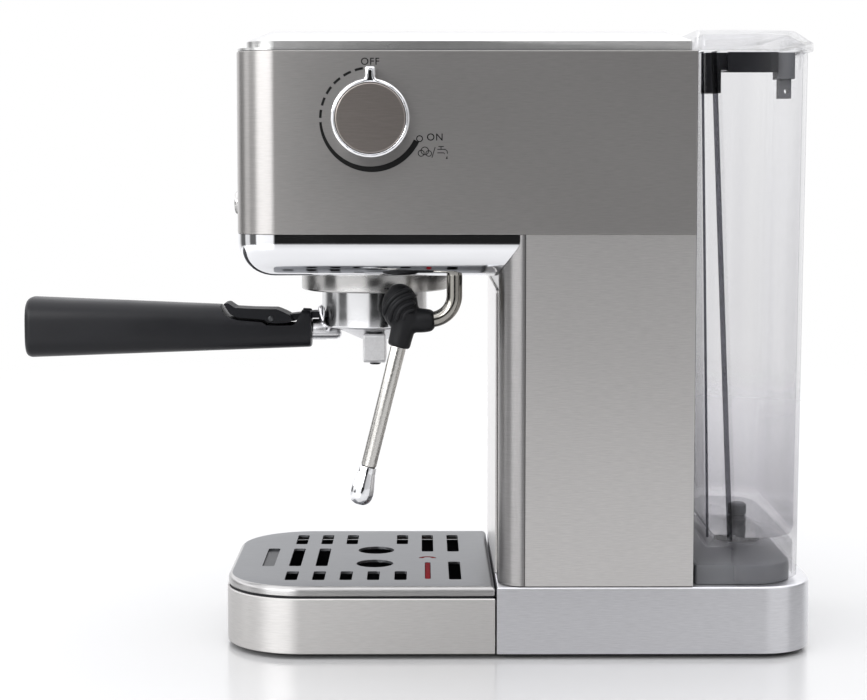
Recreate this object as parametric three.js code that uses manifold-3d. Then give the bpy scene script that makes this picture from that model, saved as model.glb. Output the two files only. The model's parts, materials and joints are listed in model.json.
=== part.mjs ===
// Espresso machine with a side steam knob, a swivelling steam wand, a drip tray and a lift-out tank.
// Millimetres. +Z is up, the front faces -X, and the knob side faces -Y.
// Each function below makes one piece. Places are measured from the middle plane of the body, y = 0,
// and the last lines move the whole machine so that the centre of its footprint is the origin.

import * as THREE from "three";
import { mergeVertices } from "three/addons/utils/BufferGeometryUtils.js";
import Module from "manifold-3d";

const wasm = await Module();
wasm.setup();

// ---------------------------------------------------------------- driving dimensions

const HALF_WIDTH = 75;
const CLEARANCE = 0.3; // between two pieces that touch
const STEEL = 1.4; // thickness of the sheet-steel skins

// lengthwise stations
const HANDLE_END = -205;
const TRAY_FRONT = -95.8;
const HEAD_FRONT = -87.4;
const BASE_FRONT = 43.4;
const COLUMN_FRONT = 44.2;
const COLUMN_BACK = 142;
const BASE_BACK = 205;

// heights
const FOOT_BOTTOM = 0;
const SKIRT_BOTTOM = 2.5;
const TRAY_WALL_TOP = 30.8;
const GRID_TOP = 36.9;
const BASE_TOP = 36.8;
const COLUMN_BOTTOM = 37.2;
const HOOD_BOTTOM = 192.7;
const HOOD_TOP = 214;
const HEAD_TOP = 305;
const COVER_EDGE_TOP = 310;
const COVER_TOP = 315;

// plan corner radii
const TRAY_CORNER = 40;
const BASE_CORNER = 27;
const COLUMN_CORNER = 13;
const HEAD_CORNER = 20.5;
const HOOD_FILLET = 18;

// group head, steam controls
const GROUP_X = -19.4;
const KNOB_Z = 271.5;
const KNOB_RADIUS = 19.25;
const KNOB_DEPTH = 16;
const WAND_X = 22.3;
const WAND_Y = -51;
const WAND_RADIUS = 4;
const WAND_BORE = 2.4;
const WAND_BEND = 12;
const WAND_TILT = THREE.MathUtils.degToRad(14.1);
const WAND_ARM_LENGTH = 98;
const KNUCKLE = new THREE.Vector3(-2.8, WAND_Y, 169.8);

// drip grid slots
const SLOT_PITCH = 14.05;
const SLOT_WIDTH = 6.3;
const FLOAT_COLUMN = 2;
const FLOAT_SLOT_WIDTH = 3;

// water tank
const TANK_FRONT_TOP = 144.6;
const TANK_FRONT_BOTTOM = 150;
const TANK_BACK_TOP = 200.6;
const TANK_BACK_BOTTOM = 198.2;
const TANK_HALF_WIDTH = 72.6;
const TANK_WALL = 2.2;
const TANK_BOTTOM = 39;
const TANK_FLOOR = 58;
const SKIRT_FRONT = 163;
const VALVE_X = 176;
const LID_FRONT = 140.6;
const LID_BACK = 203.2;
const LID_BOTTOM = 305.5;
const LID_TOP = 315.3;
const LID_HINGE_X = 202;
const LID_HINGE_Z = 306.6;
const LID_LUG_Y = 26;

// portafilter handle and basket clip
const HANDLE_FRONT = -53.3;
const NECK_Z = 160.5;
const NECK_RADIUS = 5.6;
const CLIP_PIVOT_X = -74.6;
const CLIP_PIVOT_Z = 166.6;

// front buttons
const BUTTON_Z = 229;
const BUTTON_PITCH = 32;
const BUTTON_RADIUS = 6;
const BUTTON_REACH = 3.4;

// facets
const CORNER_STEPS = 6;
const FINE_SIDES = 32;
const MEDIUM_SIDES = 24;
const COARSE_SIDES = 14;
const TUBE_SIDES = 10;

// ---------------------------------------------------------------- solids and their joins and cuts

// A geometry as a manifold solid, turned right side out where its triangles wind inwards.
function toSolid(geometry) {
  const bare = geometry.clone();
  bare.deleteAttribute("normal");
  bare.deleteAttribute("uv");
  const merged = mergeVertices(bare, 1e-4);
  const triangles = [];
  for (let i = 0; i < merged.index.count; i += 3) {
    const [a, b, c] = [0, 1, 2].map((k) => merged.index.getX(i + k));
    if (a !== b && b !== c && c !== a) triangles.push([a, b, c]);
  }
  const build = (corners) =>
    new wasm.Manifold(
      new wasm.Mesh({
        numProp: 3,
        vertProperties: new Float32Array(merged.attributes.position.array),
        triVerts: new Uint32Array(corners.flat()),
      }),
    );
  const made = build(triangles);
  return made.volume() >= 0 ? made : build(triangles.map(([a, b, c]) => [a, c, b]));
}

function toGeometry(solid) {
  const { vertProperties, triVerts } = solid.getMesh();
  const geometry = new THREE.BufferGeometry();
  geometry.setAttribute("position", new THREE.BufferAttribute(vertProperties, 3));
  geometry.setIndex(new THREE.BufferAttribute(triVerts, 1));
  geometry.computeVertexNormals();
  return geometry;
}

function join(...geometries) {
  return toGeometry(geometries.map(toSolid).reduce((sum, next) => sum.add(next)));
}

function cut(geometry, ...tools) {
  return toGeometry(tools.map(toSolid).reduce((left, tool) => left.subtract(tool), toSolid(geometry)));
}

// ---------------------------------------------------------------- basic shapes

function box([x0, x1], [y0, y1], [z0, z1]) {
  const geometry = new THREE.BoxGeometry(x1 - x0, y1 - y0, z1 - z0);
  return geometry.translate((x0 + x1) / 2, (y0 + y1) / 2, (z0 + z1) / 2);
}

// An upright cylinder.
function drum(radius, [z0, z1], [x, y] = [0, 0], sides = COARSE_SIDES) {
  const geometry = new THREE.CylinderGeometry(radius, radius, z1 - z0, sides);
  return geometry.rotateX(Math.PI / 2).translate(x, y, (z0 + z1) / 2);
}

// A cylinder along X.
function rodX(radius, [x0, x1], [y, z], sides = COARSE_SIDES) {
  const geometry = new THREE.CylinderGeometry(radius, radius, x1 - x0, sides);
  return geometry.rotateZ(Math.PI / 2).translate((x0 + x1) / 2, y, z);
}

// A cylinder along Y.
function rodY(radius, [y0, y1], [x, z], sides = COARSE_SIDES) {
  return new THREE.CylinderGeometry(radius, radius, y1 - y0, sides).translate(x, (y0 + y1) / 2, z);
}

// A closed [radius, height] profile turned about the Z axis.
function turned(profile, sides = FINE_SIDES) {
  const onAxis = profile[0][0] === 0;
  const points = (onAxis ? profile : [...profile, profile[0]]).map(([r, z]) => new THREE.Vector2(r, z));
  return new THREE.LatheGeometry(points, sides).rotateX(Math.PI / 2);
}

// A rectangle's outline with a radius for each corner, counter-clockwise from its lowest corner.
function roundedOutline([x0, x1], [y0, y1], radii, steps = CORNER_STEPS) {
  const corners = [
    [x0, y0, 1, 1],
    [x1, y0, -1, 1],
    [x1, y1, -1, -1],
    [x0, y1, 1, -1],
  ];
  return corners.flatMap(([x, y, inX, inY], corner) => {
    const r = radii[corner];
    if (r === 0) return [new THREE.Vector2(x, y)];
    return Array.from({ length: steps + 1 }, (_, step) => {
      const angle = Math.PI + (corner + step / steps) * (Math.PI / 2);
      return new THREE.Vector2(x + inX * r + r * Math.cos(angle), y + inY * r + r * Math.sin(angle));
    });
  });
}

// A plan outline that is the same on both sides of y = 0.
function plan([front, back], halfWidth, frontRadius, backRadius, inset = 0) {
  const less = (radius) => (radius > 0 ? Math.max(radius - inset, 0.6) : 0);
  const [f, b] = [less(frontRadius), less(backRadius)];
  return roundedOutline([front + inset, back - inset], [-halfWidth + inset, halfWidth - inset], [f, b, b, f]);
}

// An outline raised from z0 to z1.
function prism(outline, [z0, z1]) {
  const geometry = new THREE.ExtrudeGeometry(new THREE.Shape(outline), {
    depth: z1 - z0,
    bevelEnabled: false,
  });
  return geometry.translate(0, 0, z0);
}

// An [x, z] outline carried along Y from y0 to y1.
function slabY(outline, [y0, y1]) {
  const points = outline.map(([x, z]) => new THREE.Vector2(x, z));
  return prism(points, [-y1, -y0]).rotateX(Math.PI / 2);
}

// A [y, z] outline carried along X from x0 to x1.
function slabX(outline, [x0, x1]) {
  const points = outline.map(([y, z]) => new THREE.Vector2(y, z));
  return prism(points, [x0, x1]).rotateX(Math.PI / 2).rotateZ(Math.PI / 2);
}

// A skin over outlines that have equal numbers of points, one [outline, height] pair for each level.
function loft(levels) {
  const count = levels[0][0].length;
  const positions = levels.flatMap(([outline, z]) => outline.flatMap(({ x, y }) => [x, y, z]));
  const index = [];
  for (let level = 0; level + 1 < levels.length; level++) {
    for (let i = 0; i < count; i++) {
      const [a, b] = [level * count + i, level * count + ((i + 1) % count)];
      index.push(a, b, b + count, a, b + count, a + count);
    }
  }
  const lowerCap = THREE.ShapeUtils.triangulateShape(levels[0][0], []);
  const upperCap = THREE.ShapeUtils.triangulateShape(levels.at(-1)[0], []);
  const top = (levels.length - 1) * count;
  lowerCap.forEach(([a, b, c]) => index.push(a, c, b));
  upperCap.forEach(([a, b, c]) => index.push(top + a, top + b, top + c));
  const geometry = new THREE.BufferGeometry();
  geometry.setAttribute("position", new THREE.Float32BufferAttribute(positions, 3));
  geometry.setIndex(index);
  return geometry;
}

// A round tube along a path, hollow where it has a bore.
function tube(path, radius, steps, bore = 0, sides = TUBE_SIDES) {
  const circle = (r) =>
    Array.from({ length: sides }, (_, i) => {
      const angle = (i / sides) * 2 * Math.PI;
      return new THREE.Vector2(r * Math.cos(angle), r * Math.sin(angle));
    });
  const section = new THREE.Shape(circle(radius));
  if (bore > 0) section.holes.push(new THREE.Path(circle(bore)));
  return new THREE.ExtrudeGeometry(section, { steps, extrudePath: path, bevelEnabled: false });
}

function smoothPath(...points) {
  return new THREE.CatmullRomCurve3(points.map((p) => new THREE.Vector3(...p)), false, "centripetal");
}

// ---------------------------------------------------------------- materials

const paint = (color, roughness, metalness, extra = {}) =>
  new THREE.MeshStandardMaterial({ color, roughness, metalness, flatShading: true, ...extra });

const brushedSteel = paint(0xb9bab8, 0.38, 1);
const chrome = paint(0xe6e8ea, 0.08, 1);
const castAlloy = paint(0xc6c8c8, 0.25, 1);
const blackPlastic = paint(0x25262a, 0.55, 0);
const greyPlastic = paint(0x6c6e71, 0.5, 0);
const clearPlastic = paint(0xdfe3e6, 0.06, 0, { transparent: true, opacity: 0.3 });
const rubber = paint(0x1c1d1f, 0.8, 0);
const silicone = paint(0xd9d4c8, 0.6, 0);
const redPlastic = paint(0x9c1418, 0.4, 0);
const brass = paint(0xb98f4a, 0.3, 1);
const aluminium = paint(0xb4b6b8, 0.45, 1);
const circuitGreen = paint(0x1d5a37, 0.5, 0);

function piece(name, geometry, material) {
  const mesh = new THREE.Mesh(geometry, material);
  mesh.name = name;
  return mesh;
}

function assembly(...children) {
  const group = new THREE.Group();
  group.add(...children);
  return group;
}

function placed(object, x, y, z) {
  object.position.set(x, y, z);
  return object;
}

// ---------------------------------------------------------------- base

const TONGUE_TOP = 3.9;
const TONGUE_HALF_WIDTH = 69.5;
const PAN_TOP = 4.6;
const PLATE_BOTTOM = 1.2;
const BASE_WALL = 2;
const PORT_HOLE = 12.4;
const GLAND_PLACE = [38, 18];
const GLAND_REACH = 1.8;
const FOOT_RADIUS = 8;
const FOOT_TOP = 2;
const FEET = [
  [-68, -52],
  [-68, 52],
  [176, -54],
  [176, 54],
];

// A black pan that closes the base from below and reaches forward as a tongue under the drip tray.
function basePlate() {
  const inset = BASE_WALL + 0.4;
  const panOutline = plan([BASE_FRONT, BASE_BACK], HALF_WIDTH, 3, BASE_CORNER, inset);
  const pan = prism(panOutline, [PLATE_BOTTOM, PAN_TOP]);
  const tongueEnds = [TRAY_FRONT + 7.5, BASE_FRONT + 6];
  const tongueOutline = plan(tongueEnds, TONGUE_HALF_WIDTH, TRAY_CORNER - 7, 0);
  const tongue = prism(tongueOutline, [PLATE_BOTTOM, TONGUE_TOP]);
  const pockets = FEET.map((at) => drum(FOOT_RADIUS + CLEARANCE, [0, FOOT_TOP + CLEARANCE], at));
  return piece("base_plate", cut(join(pan, tongue), ...pockets), blackPlastic);
}

function foot(number, [x, y]) {
  const profile = [
    [0, FOOT_BOTTOM],
    [FOOT_RADIUS - 0.6, FOOT_BOTTOM],
    [FOOT_RADIUS, 0.6],
    [FOOT_RADIUS, FOOT_TOP],
    [0, FOOT_TOP],
  ];
  return placed(piece(`foot_${number}`, turned(profile, COARSE_SIDES), rubber), x, y, 0);
}

// The steel housing behind the tray, open below, with openings for the column, the water port and the gland.
function baseShell() {
  const outline = (inset) => plan([BASE_FRONT, BASE_BACK], HALF_WIDTH, 1.8, BASE_CORNER, inset);
  const outer = loft([
    [outline(0), SKIRT_BOTTOM],
    [outline(0), BASE_TOP - 1],
    [outline(0.3), BASE_TOP - 0.3],
    [outline(1), BASE_TOP],
  ]);
  const hollow = prism(outline(BASE_WALL), [0, BASE_TOP - BASE_WALL]);
  const tongueGap = box([BASE_FRONT - 1, BASE_FRONT + 4], [-70, 70], [0, TONGUE_TOP + 0.5]);
  const columnOpening = box([66, 132], [-45, 45], [30, 40]);
  const portHole = drum(PORT_HOLE, [30, 40], [VALVE_X, 0]);
  const glandHole = rodX(6, [BASE_BACK - 6, BASE_BACK + 2], GLAND_PLACE);
  return piece(
    "base_shell",
    cut(outer, hollow, tongueGap, columnOpening, portHole, glandHole),
    brushedSteel,
  );
}

const PLATFORM_BACK = 194.6;
const PLATFORM_TOP = 47;

// The step that the tank drops over.
function tankPlatform() {
  const outline = (inset) => plan([143.4, PLATFORM_BACK], 69.4, 2, 20, inset);
  const step = loft([
    [outline(0), BASE_TOP + CLEARANCE],
    [outline(0), PLATFORM_TOP - 1.2],
    [outline(1.2), PLATFORM_TOP],
  ]);
  return piece("tank_platform", cut(step, drum(PORT_HOLE, [30, 50], [VALVE_X, 0])), greyPlastic);
}

const PORT_BOTTOM = 24;

// The cup that the tank's valve plugs into, with a nipple for the suction hose below.
function waterPort() {
  const profile = [
    [3, PORT_BOTTOM],
    [4.5, PORT_BOTTOM],
    [4.5, 32],
    [12, 32],
    [12, 50],
    [9.8, 50],
    [9.8, 44],
    [3, 44],
  ];
  return placed(piece("water_port", turned(profile, 18), blackPlastic), VALVE_X, 0, 0);
}

function portSeal() {
  const profile = [
    [7.7, 44.3],
    [9.4, 44.3],
    [9.4, 48.5],
    [8.6, 49.4],
    [7.7, 48.5],
  ];
  return placed(piece("port_seal", turned(profile, 18), rubber), VALVE_X, 0, 0);
}

// A flanged bush in the rear wall of the base, where the mains lead passes.
function cordGland() {
  const profile = [
    [3.6, -6],
    [5.6, -6],
    [5.6, 0.3],
    [8.4, 0.3],
    [7.6, GLAND_REACH],
    [3.6, GLAND_REACH],
  ];
  const bush = piece("cord_gland", turned(profile, COARSE_SIDES), rubber);
  bush.rotation.y = Math.PI / 2;
  return placed(bush, BASE_BACK, ...GLAND_PLACE);
}

// ---------------------------------------------------------------- column

const CHASSIS_FRONT = 59.5;
const CHASSIS_BACK = 139.7;
const CHASSIS_HALF_WIDTH = 72.9;
const CHASSIS_WALL = 2.5;
const SHELF_BOTTOM = 211;
const CORNER_END = COLUMN_FRONT + COLUMN_CORNER; // where the rounded front edges meet the side panels

// The inner frame: a box in the column, a shelf forward into the head and a wall up its back.
function chassis() {
  const outer = box(
    [CHASSIS_FRONT, CHASSIS_BACK],
    [-CHASSIS_HALF_WIDTH, CHASSIS_HALF_WIDTH],
    [COLUMN_BOTTOM, HOOD_TOP],
  );
  const inner = box(
    [CHASSIS_FRONT + CHASSIS_WALL, CHASSIS_BACK - CHASSIS_WALL],
    [-CHASSIS_HALF_WIDTH + CHASSIS_WALL, CHASSIS_HALF_WIDTH - CHASSIS_WALL],
    [COLUMN_BOTTOM - 1, HOOD_TOP + 1],
  );
  const shelf = prism(plan([-78, CHASSIS_FRONT + 1], 60, 10, 0), [SHELF_BOTTOM, HOOD_TOP]);
  const backWall = box(
    [CHASSIS_BACK - CHASSIS_WALL, CHASSIS_BACK],
    [-CHASSIS_HALF_WIDTH, CHASSIS_HALF_WIDTH],
    [HOOD_TOP - 1, HEAD_TOP - 2],
  );
  const groupHole = drum(41, [SHELF_BOTTOM - 1, HOOD_TOP + 1], [GROUP_X, 0], MEDIUM_SIDES);
  const wandHole = drum(9, [SHELF_BOTTOM - 1, HOOD_TOP + 1], [WAND_X, WAND_Y]);
  return piece("chassis", cut(join(cut(outer, inner), shelf, backWall), groupHole, wandHole), blackPlastic);
}

function columnSide(name, side) {
  const lengthwise = [CORNER_END + CLEARANCE, COLUMN_BACK];
  const skin = box(lengthwise, [HALF_WIDTH - STEEL, HALF_WIDTH], [COLUMN_BOTTOM, HOOD_TOP]);
  const panel = side < 0 ? skin.translate(0, -2 * HALF_WIDTH + STEEL, 0) : skin;
  return piece(name, panel, brushedSteel);
}

// The steel front of the column with its two rounded edges. Its middle stops short under the hood.
function columnFront() {
  const outline = (inset) => plan([COLUMN_FRONT, 70], HALF_WIDTH, COLUMN_CORNER, 0, inset);
  const heights = [COLUMN_BOTTOM, HOOD_TOP];
  const rearCut = box([CORNER_END, 80], [-80, 80], [0, 300]);
  const middleCut = box([40, 60], [-61, 61], [205, 300]);
  const wrap = cut(prism(outline(0), heights), prism(outline(STEEL), [0, 300]), rearCut, middleCut);
  return piece("column_front", wrap, brushedSteel);
}

const SPLASH_HALF_WIDTH = 61;

function splashPanel() {
  const edge = roundedOutline([-SPLASH_HALF_WIDTH, SPLASH_HALF_WIDTH], [40.4, 186], [2, 2, 2, 2], 3);
  const sheet = slabX(edge.map(({ x, y }) => [x, y]), [COLUMN_FRONT - 1.2, COLUMN_FRONT - CLEARANCE]);
  return piece("splash_panel", sheet, brushedSteel);
}

// The black panel that closes the back of the column and of the head.
function rearPanel() {
  const sheet = box([CHASSIS_BACK + CLEARANCE, COLUMN_BACK + 0.4], [-73.2, 73.2], [COLUMN_BOTTOM, HEAD_TOP]);
  const slots = [-3, -2, -1, 0, 1, 2, 3].map((i) =>
    box([130, 150], [i * 9 - 2, i * 9 + 2], [244, 284]),
  );
  return piece("rear_panel", cut(sheet, ...slots), blackPlastic);
}

// ---------------------------------------------------------------- head

const headPlan = (inset) => plan([HEAD_FRONT, COLUMN_BACK], HALF_WIDTH, HEAD_CORNER, 0, inset);
const buttonPlaces = [-1, 0, 1].map((i) => i * BUTTON_PITCH);

// The brushed wrap round the head, open at the back.
function headWrap() {
  const heights = [HOOD_TOP + CLEARANCE, HEAD_TOP];
  const inside = plan([HEAD_FRONT + STEEL, 160], HALF_WIDTH - STEEL, HEAD_CORNER - STEEL, 0);
  const stemHole = rodY(5, [-80, -70], [GROUP_X, KNOB_Z]);
  const buttonHoles = buttonPlaces.map((y) => rodX(BUTTON_RADIUS + CLEARANCE, [-95, -80], [y, BUTTON_Z]));
  const skin = cut(prism(headPlan(0), heights), prism(inside, [0, 400]), stemHole, ...buttonHoles);
  return piece("head_wrap", skin, brushedSteel);
}

// The levels of the hood, whose outline shrinks round the fillet towards the bottom.
function hoodLevels(inset, bottom, steps) {
  const fillet = HOOD_FILLET - inset;
  const outline = (more) => {
    const total = inset + more;
    const corner = Math.max(HEAD_CORNER - total, 1.2);
    const half = HALF_WIDTH - total;
    return roundedOutline([HEAD_FRONT + total, CORNER_END], [-half, half], [corner, 0, 0, corner]);
  };
  const curve = Array.from({ length: steps + 1 }, (_, i) => {
    const angle = (i / steps) * (Math.PI / 2);
    return [outline(fillet * (1 - Math.sin(angle))), bottom + fillet * (1 - Math.cos(angle))];
  });
  return [...curve, [outline(0), HOOD_TOP + (inset > 0 ? 1 : 0)]];
}

const COLLAR_NECK = 37.2;
const HOOD_WALL = 2.4;

// The polished hood under the head, filleted below and fitted round the front edges of the column.
function headHood() {
  const inner = loft(hoodLevels(HOOD_WALL, HOOD_BOTTOM + HOOD_WALL, 4));
  const shell = cut(loft(hoodLevels(0, HOOD_BOTTOM, 8)), inner);
  const gap = CLEARANCE;
  const columnOutline = plan([COLUMN_FRONT - gap, 90], HALF_WIDTH + gap, COLUMN_CORNER + gap, 0);
  const column = prism(columnOutline, [150, 250]);
  const groupHole = drum(COLLAR_NECK + CLEARANCE, [180, 220], [GROUP_X, 0], FINE_SIDES);
  const wandHole = drum(WAND_RADIUS + 1, [180, 220], [WAND_X, WAND_Y]);
  return piece("head_hood", cut(shell, column, groupHole, wandHole), chrome);
}

const COVER_BACK = 139.3;
const SHELF_RIM = 15;
const CUP_SHELF = 313.4;

// The top cover: a flange over the head's rim, a steel edge, a bevel and a shallow cup shelf with ribs.
function topCover() {
  const outline = (inset) => plan([HEAD_FRONT + 5.5, COVER_BACK], HALF_WIDTH - 0.8, 15, 1, inset);
  const body = loft([
    [outline(0), HEAD_TOP + CLEARANCE],
    [outline(0), COVER_EDGE_TOP],
    [outline(12), COVER_TOP - 0.3],
    [outline(12.6), COVER_TOP],
  ]);
  const flangeOutline = plan([HEAD_FRONT, COVER_BACK], HALF_WIDTH, HEAD_CORNER, 1, 0.6);
  const flange = prism(flangeOutline, [HEAD_TOP + CLEARANCE, HEAD_TOP + CLEARANCE + 1.2]);
  const recess = prism(outline(SHELF_RIM), [CUP_SHELF, 330]);
  const underside = loft([
    [outline(1.6), HEAD_TOP],
    [outline(1.6), COVER_EDGE_TOP - 0.8],
    [outline(12), CUP_SHELF - 1.6],
  ]);
  const ribs = [-2, -1, 0, 1, 2].map((i) => {
    const edge = roundedOutline([-40, 98], [i * 20 - 2, i * 20 + 2], [2, 2, 2, 2], 3);
    return prism(edge, [CUP_SHELF - 1, CUP_SHELF + 0.8]);
  });
  return piece("top_cover", join(cut(join(body, flange), recess, underside), ...ribs), brushedSteel);
}

function button(name, y) {
  const outer = HEAD_FRONT - BUTTON_REACH;
  const profile = [
    [0, 0],
    [BUTTON_RADIUS - 1, 0],
    [BUTTON_RADIUS, 1],
    [BUTTON_RADIUS, BUTTON_REACH + STEEL + 0.6],
    [BUTTON_RADIUS + 1.5, BUTTON_REACH + STEEL + 0.6],
    [BUTTON_RADIUS + 1.5, BUTTON_REACH + STEEL + 1.8],
    [2.5, BUTTON_REACH + STEEL + 1.8],
    [2.5, 9.6],
    [0, 9.6],
  ];
  const key = piece(name, turned(profile, 18), chrome);
  key.rotation.y = Math.PI / 2;
  return placed(key, outer, y, BUTTON_Z);
}

// The circuit board behind the buttons, with one switch for each.
function controlBoard() {
  const boardX = HEAD_FRONT + 10;
  const board = box([boardX, boardX + 1.6], [-46, 46], [219, 256]);
  const switches = buttonPlaces.map((y) =>
    box([boardX - 1, boardX + 0.5], [y - 3, y + 3], [BUTTON_Z - 3, BUTTON_Z + 3]),
  );
  const relay = box([boardX + 1, boardX + 14], [-20, 20], [238, 254]);
  return piece("control_board", join(board, ...switches, relay), circuitGreen);
}

// ---------------------------------------------------------------- group head, boiler and pump

const COLLAR_RADIUS = 39.1;
const COLLAR_BOTTOM = 182.3;
const LIP_TOP = 184.3;
const LIP_BORE = 31.2;
const EAR_RADIUS = 34;
const EAR_SPACE = 34.6;
const EARS = [60, 180, 300];
const UNLOCK_TURN = -45;
const GROUP_ROOF = 193.5;

// A piece of ring between two radii, centred on an angle in degrees.
function ringPiece([inner, outer], degrees, spread, heights) {
  const steps = 5;
  const arc = (radius, k) => {
    const angle = THREE.MathUtils.degToRad(degrees + spread * (k / steps - 0.5));
    return new THREE.Vector2(radius * Math.cos(angle), radius * Math.sin(angle));
  };
  const outerArc = Array.from({ length: steps + 1 }, (_, k) => arc(outer, k));
  const innerArc = Array.from({ length: steps + 1 }, (_, k) => arc(inner, steps - k));
  return prism([...outerArc, ...innerArc], heights);
}

// The collar under the hood. Notches in its lip let the ears of the portafilter in at the unlocked angle.
function groupCollar() {
  const ring = turned([
    [5, GROUP_ROOF],
    [EAR_SPACE, GROUP_ROOF],
    [EAR_SPACE, LIP_TOP],
    [LIP_BORE, LIP_TOP],
    [LIP_BORE, COLLAR_BOTTOM],
    [COLLAR_RADIUS - 0.8, COLLAR_BOTTOM],
    [COLLAR_RADIUS, COLLAR_BOTTOM + 0.8],
    [COLLAR_RADIUS, HOOD_BOTTOM - CLEARANCE],
    [COLLAR_NECK, HOOD_BOTTOM - CLEARANCE],
    [COLLAR_NECK, 202],
    [5, 202],
  ]);
  const notches = EARS.map((angle) =>
    ringPiece([29, EAR_SPACE - 0.2], angle + UNLOCK_TURN, 36, [COLLAR_BOTTOM - 1, LIP_TOP + 0.5]),
  );
  return piece("group_collar", cut(ring, ...notches), castAlloy);
}

function groupSeal() {
  const profile = [
    [25.4, 189.3],
    [30, 189.3],
    [30, 193.2],
    [25.4, 193.2],
  ];
  return piece("group_seal", turned(profile, MEDIUM_SIDES), rubber);
}

function showerScreen() {
  const profile = [
    [2.4, 190.4],
    [24.2, 191],
    [25, 193.2],
    [23.6, 193.2],
    [22.8, 192],
    [2.4, 191.4],
  ];
  return piece("shower_screen", turned(profile, MEDIUM_SIDES), brushedSteel);
}

function showerScrew() {
  const profile = [
    [0, 188.6],
    [4.2, 188.6],
    [4.2, 190.1],
    [2, 190.1],
    [2, 200],
    [0, 200],
  ];
  return piece("shower_screw", turned(profile, COARSE_SIDES), brushedSteel);
}

const BOILER_RADIUS = 35;
const BOILER_INLET_Z = 262;
const BOILER_TOP = 292;

// The boiler on the collar: its spigot feeds the shower screen, and its nipple takes the pump's hose.
function boiler() {
  const body = turned(
    [
      [2.4, 194.2],
      [4.6, 194.2],
      [4.6, 202.3],
      [33, 202.3],
      [33, 216],
      [BOILER_RADIUS + 3, 216],
      [BOILER_RADIUS + 3, 221],
      [BOILER_RADIUS, 221],
      [BOILER_RADIUS, BOILER_TOP - 8],
      [BOILER_RADIUS - 8, BOILER_TOP],
      [0, BOILER_TOP],
      [0, 204],
      [2.4, 204],
    ].reverse(),
    MEDIUM_SIDES,
  );
  const inlet = rodX(3, [BOILER_RADIUS - 2, BOILER_RADIUS + 7], [0, BOILER_INLET_Z], TUBE_SIDES);
  return piece("boiler", join(body, inlet), aluminium);
}

const PUMP_X = 98;
const PUMP_Y = 18;
const PUMP_BOTTOM = 66;
const PUMP_TOP = 172;

// A vibrating pump, upright in the column: inlet below, coil in the middle, outlet above.
function pump() {
  const body = turned(
    [
      [0, PUMP_BOTTOM],
      [4, PUMP_BOTTOM],
      [4, PUMP_BOTTOM + 12],
      [14, PUMP_BOTTOM + 16],
      [14, PUMP_BOTTOM + 30],
      [9, PUMP_BOTTOM + 30],
      [9, PUMP_TOP - 22],
      [13, PUMP_TOP - 22],
      [13, PUMP_TOP - 12],
      [4, PUMP_TOP - 10],
      [4, PUMP_TOP],
      [0, PUMP_TOP],
    ],
    COARSE_SIDES,
  );
  const coil = box([-20, 20], [-17, 17], [PUMP_BOTTOM + 34, PUMP_TOP - 26]);
  return placed(piece("pump", join(body, coil), blackPlastic), PUMP_X, PUMP_Y, 0);
}

// A rubber block between the pump's coil and the wall of the chassis.
function pumpMount(name, z) {
  const lengthwise = [PUMP_X + 20 + CLEARANCE, CHASSIS_BACK - CHASSIS_WALL - CLEARANCE];
  return piece(name, box(lengthwise, [PUMP_Y - 12, PUMP_Y + 12], [z - 6, z + 6]), rubber);
}

const HOSE_RADIUS = 4;
const THIN_HOSE_RADIUS = 3;

function suctionHose() {
  const path = smoothPath(
    [VALVE_X, 0, PORT_BOTTOM - CLEARANCE],
    [VALVE_X, 0, 20],
    [VALVE_X - 3, 0, 15],
    [VALVE_X - 13, 1, 12],
    [150, 5, 11.5],
    [120, 13, 12],
    [104, PUMP_Y - 1, 18],
    [PUMP_X, PUMP_Y, 34],
    [PUMP_X, PUMP_Y, PUMP_BOTTOM - CLEARANCE],
  );
  return piece("suction_hose", tube(path, HOSE_RADIUS, 22), silicone);
}

function pressureHose() {
  const path = smoothPath(
    [PUMP_X, PUMP_Y, PUMP_TOP + CLEARANCE],
    [PUMP_X, PUMP_Y, 215],
    [92, 16, 244],
    [72, 9, 258],
    [46, 2, BOILER_INLET_Z],
    [GROUP_X + BOILER_RADIUS + 7 + CLEARANCE, 0, BOILER_INLET_Z],
  );
  return piece("pressure_hose", tube(path, THIN_HOSE_RADIUS, 18), silicone);
}

// ---------------------------------------------------------------- steam valve, knob and wand

const VALVE_FRONT_Y = -70;
const VALVE_REAR_Y = -46;
const VALVE_RADIUS = 10;

// The valve body between the boiler and the knob side, with its outlet below.
function steamValve() {
  const body = rodY(VALVE_RADIUS, [VALVE_FRONT_Y, VALVE_REAR_Y], [GROUP_X, KNOB_Z]);
  const inlet = rodY(3.5, [VALVE_REAR_Y - 1, -BOILER_RADIUS - 0.5], [GROUP_X, KNOB_Z], TUBE_SIDES);
  const outlet = drum(3, [KNOB_Z - VALVE_RADIUS - 7, KNOB_Z - 5], [GROUP_X, -58], TUBE_SIDES);
  const stemBore = rodY(3.3, [VALVE_FRONT_Y - 1, -56], [GROUP_X, KNOB_Z]);
  return piece("steam_valve", cut(join(body, inlet, outlet), stemBore), brass);
}

function steamHose() {
  const path = smoothPath(
    [GROUP_X, -58, KNOB_Z - VALVE_RADIUS - 7 - CLEARANCE],
    [GROUP_X, -58, 246],
    [-12, -57, 234],
    [6, -54, 228],
    [18, WAND_Y, 224],
    [WAND_X, WAND_Y, 216],
    [WAND_X, WAND_Y, 210 + CLEARANCE],
  );
  return piece("steam_hose", tube(path, THIN_HOSE_RADIUS, 18), silicone);
}

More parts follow.
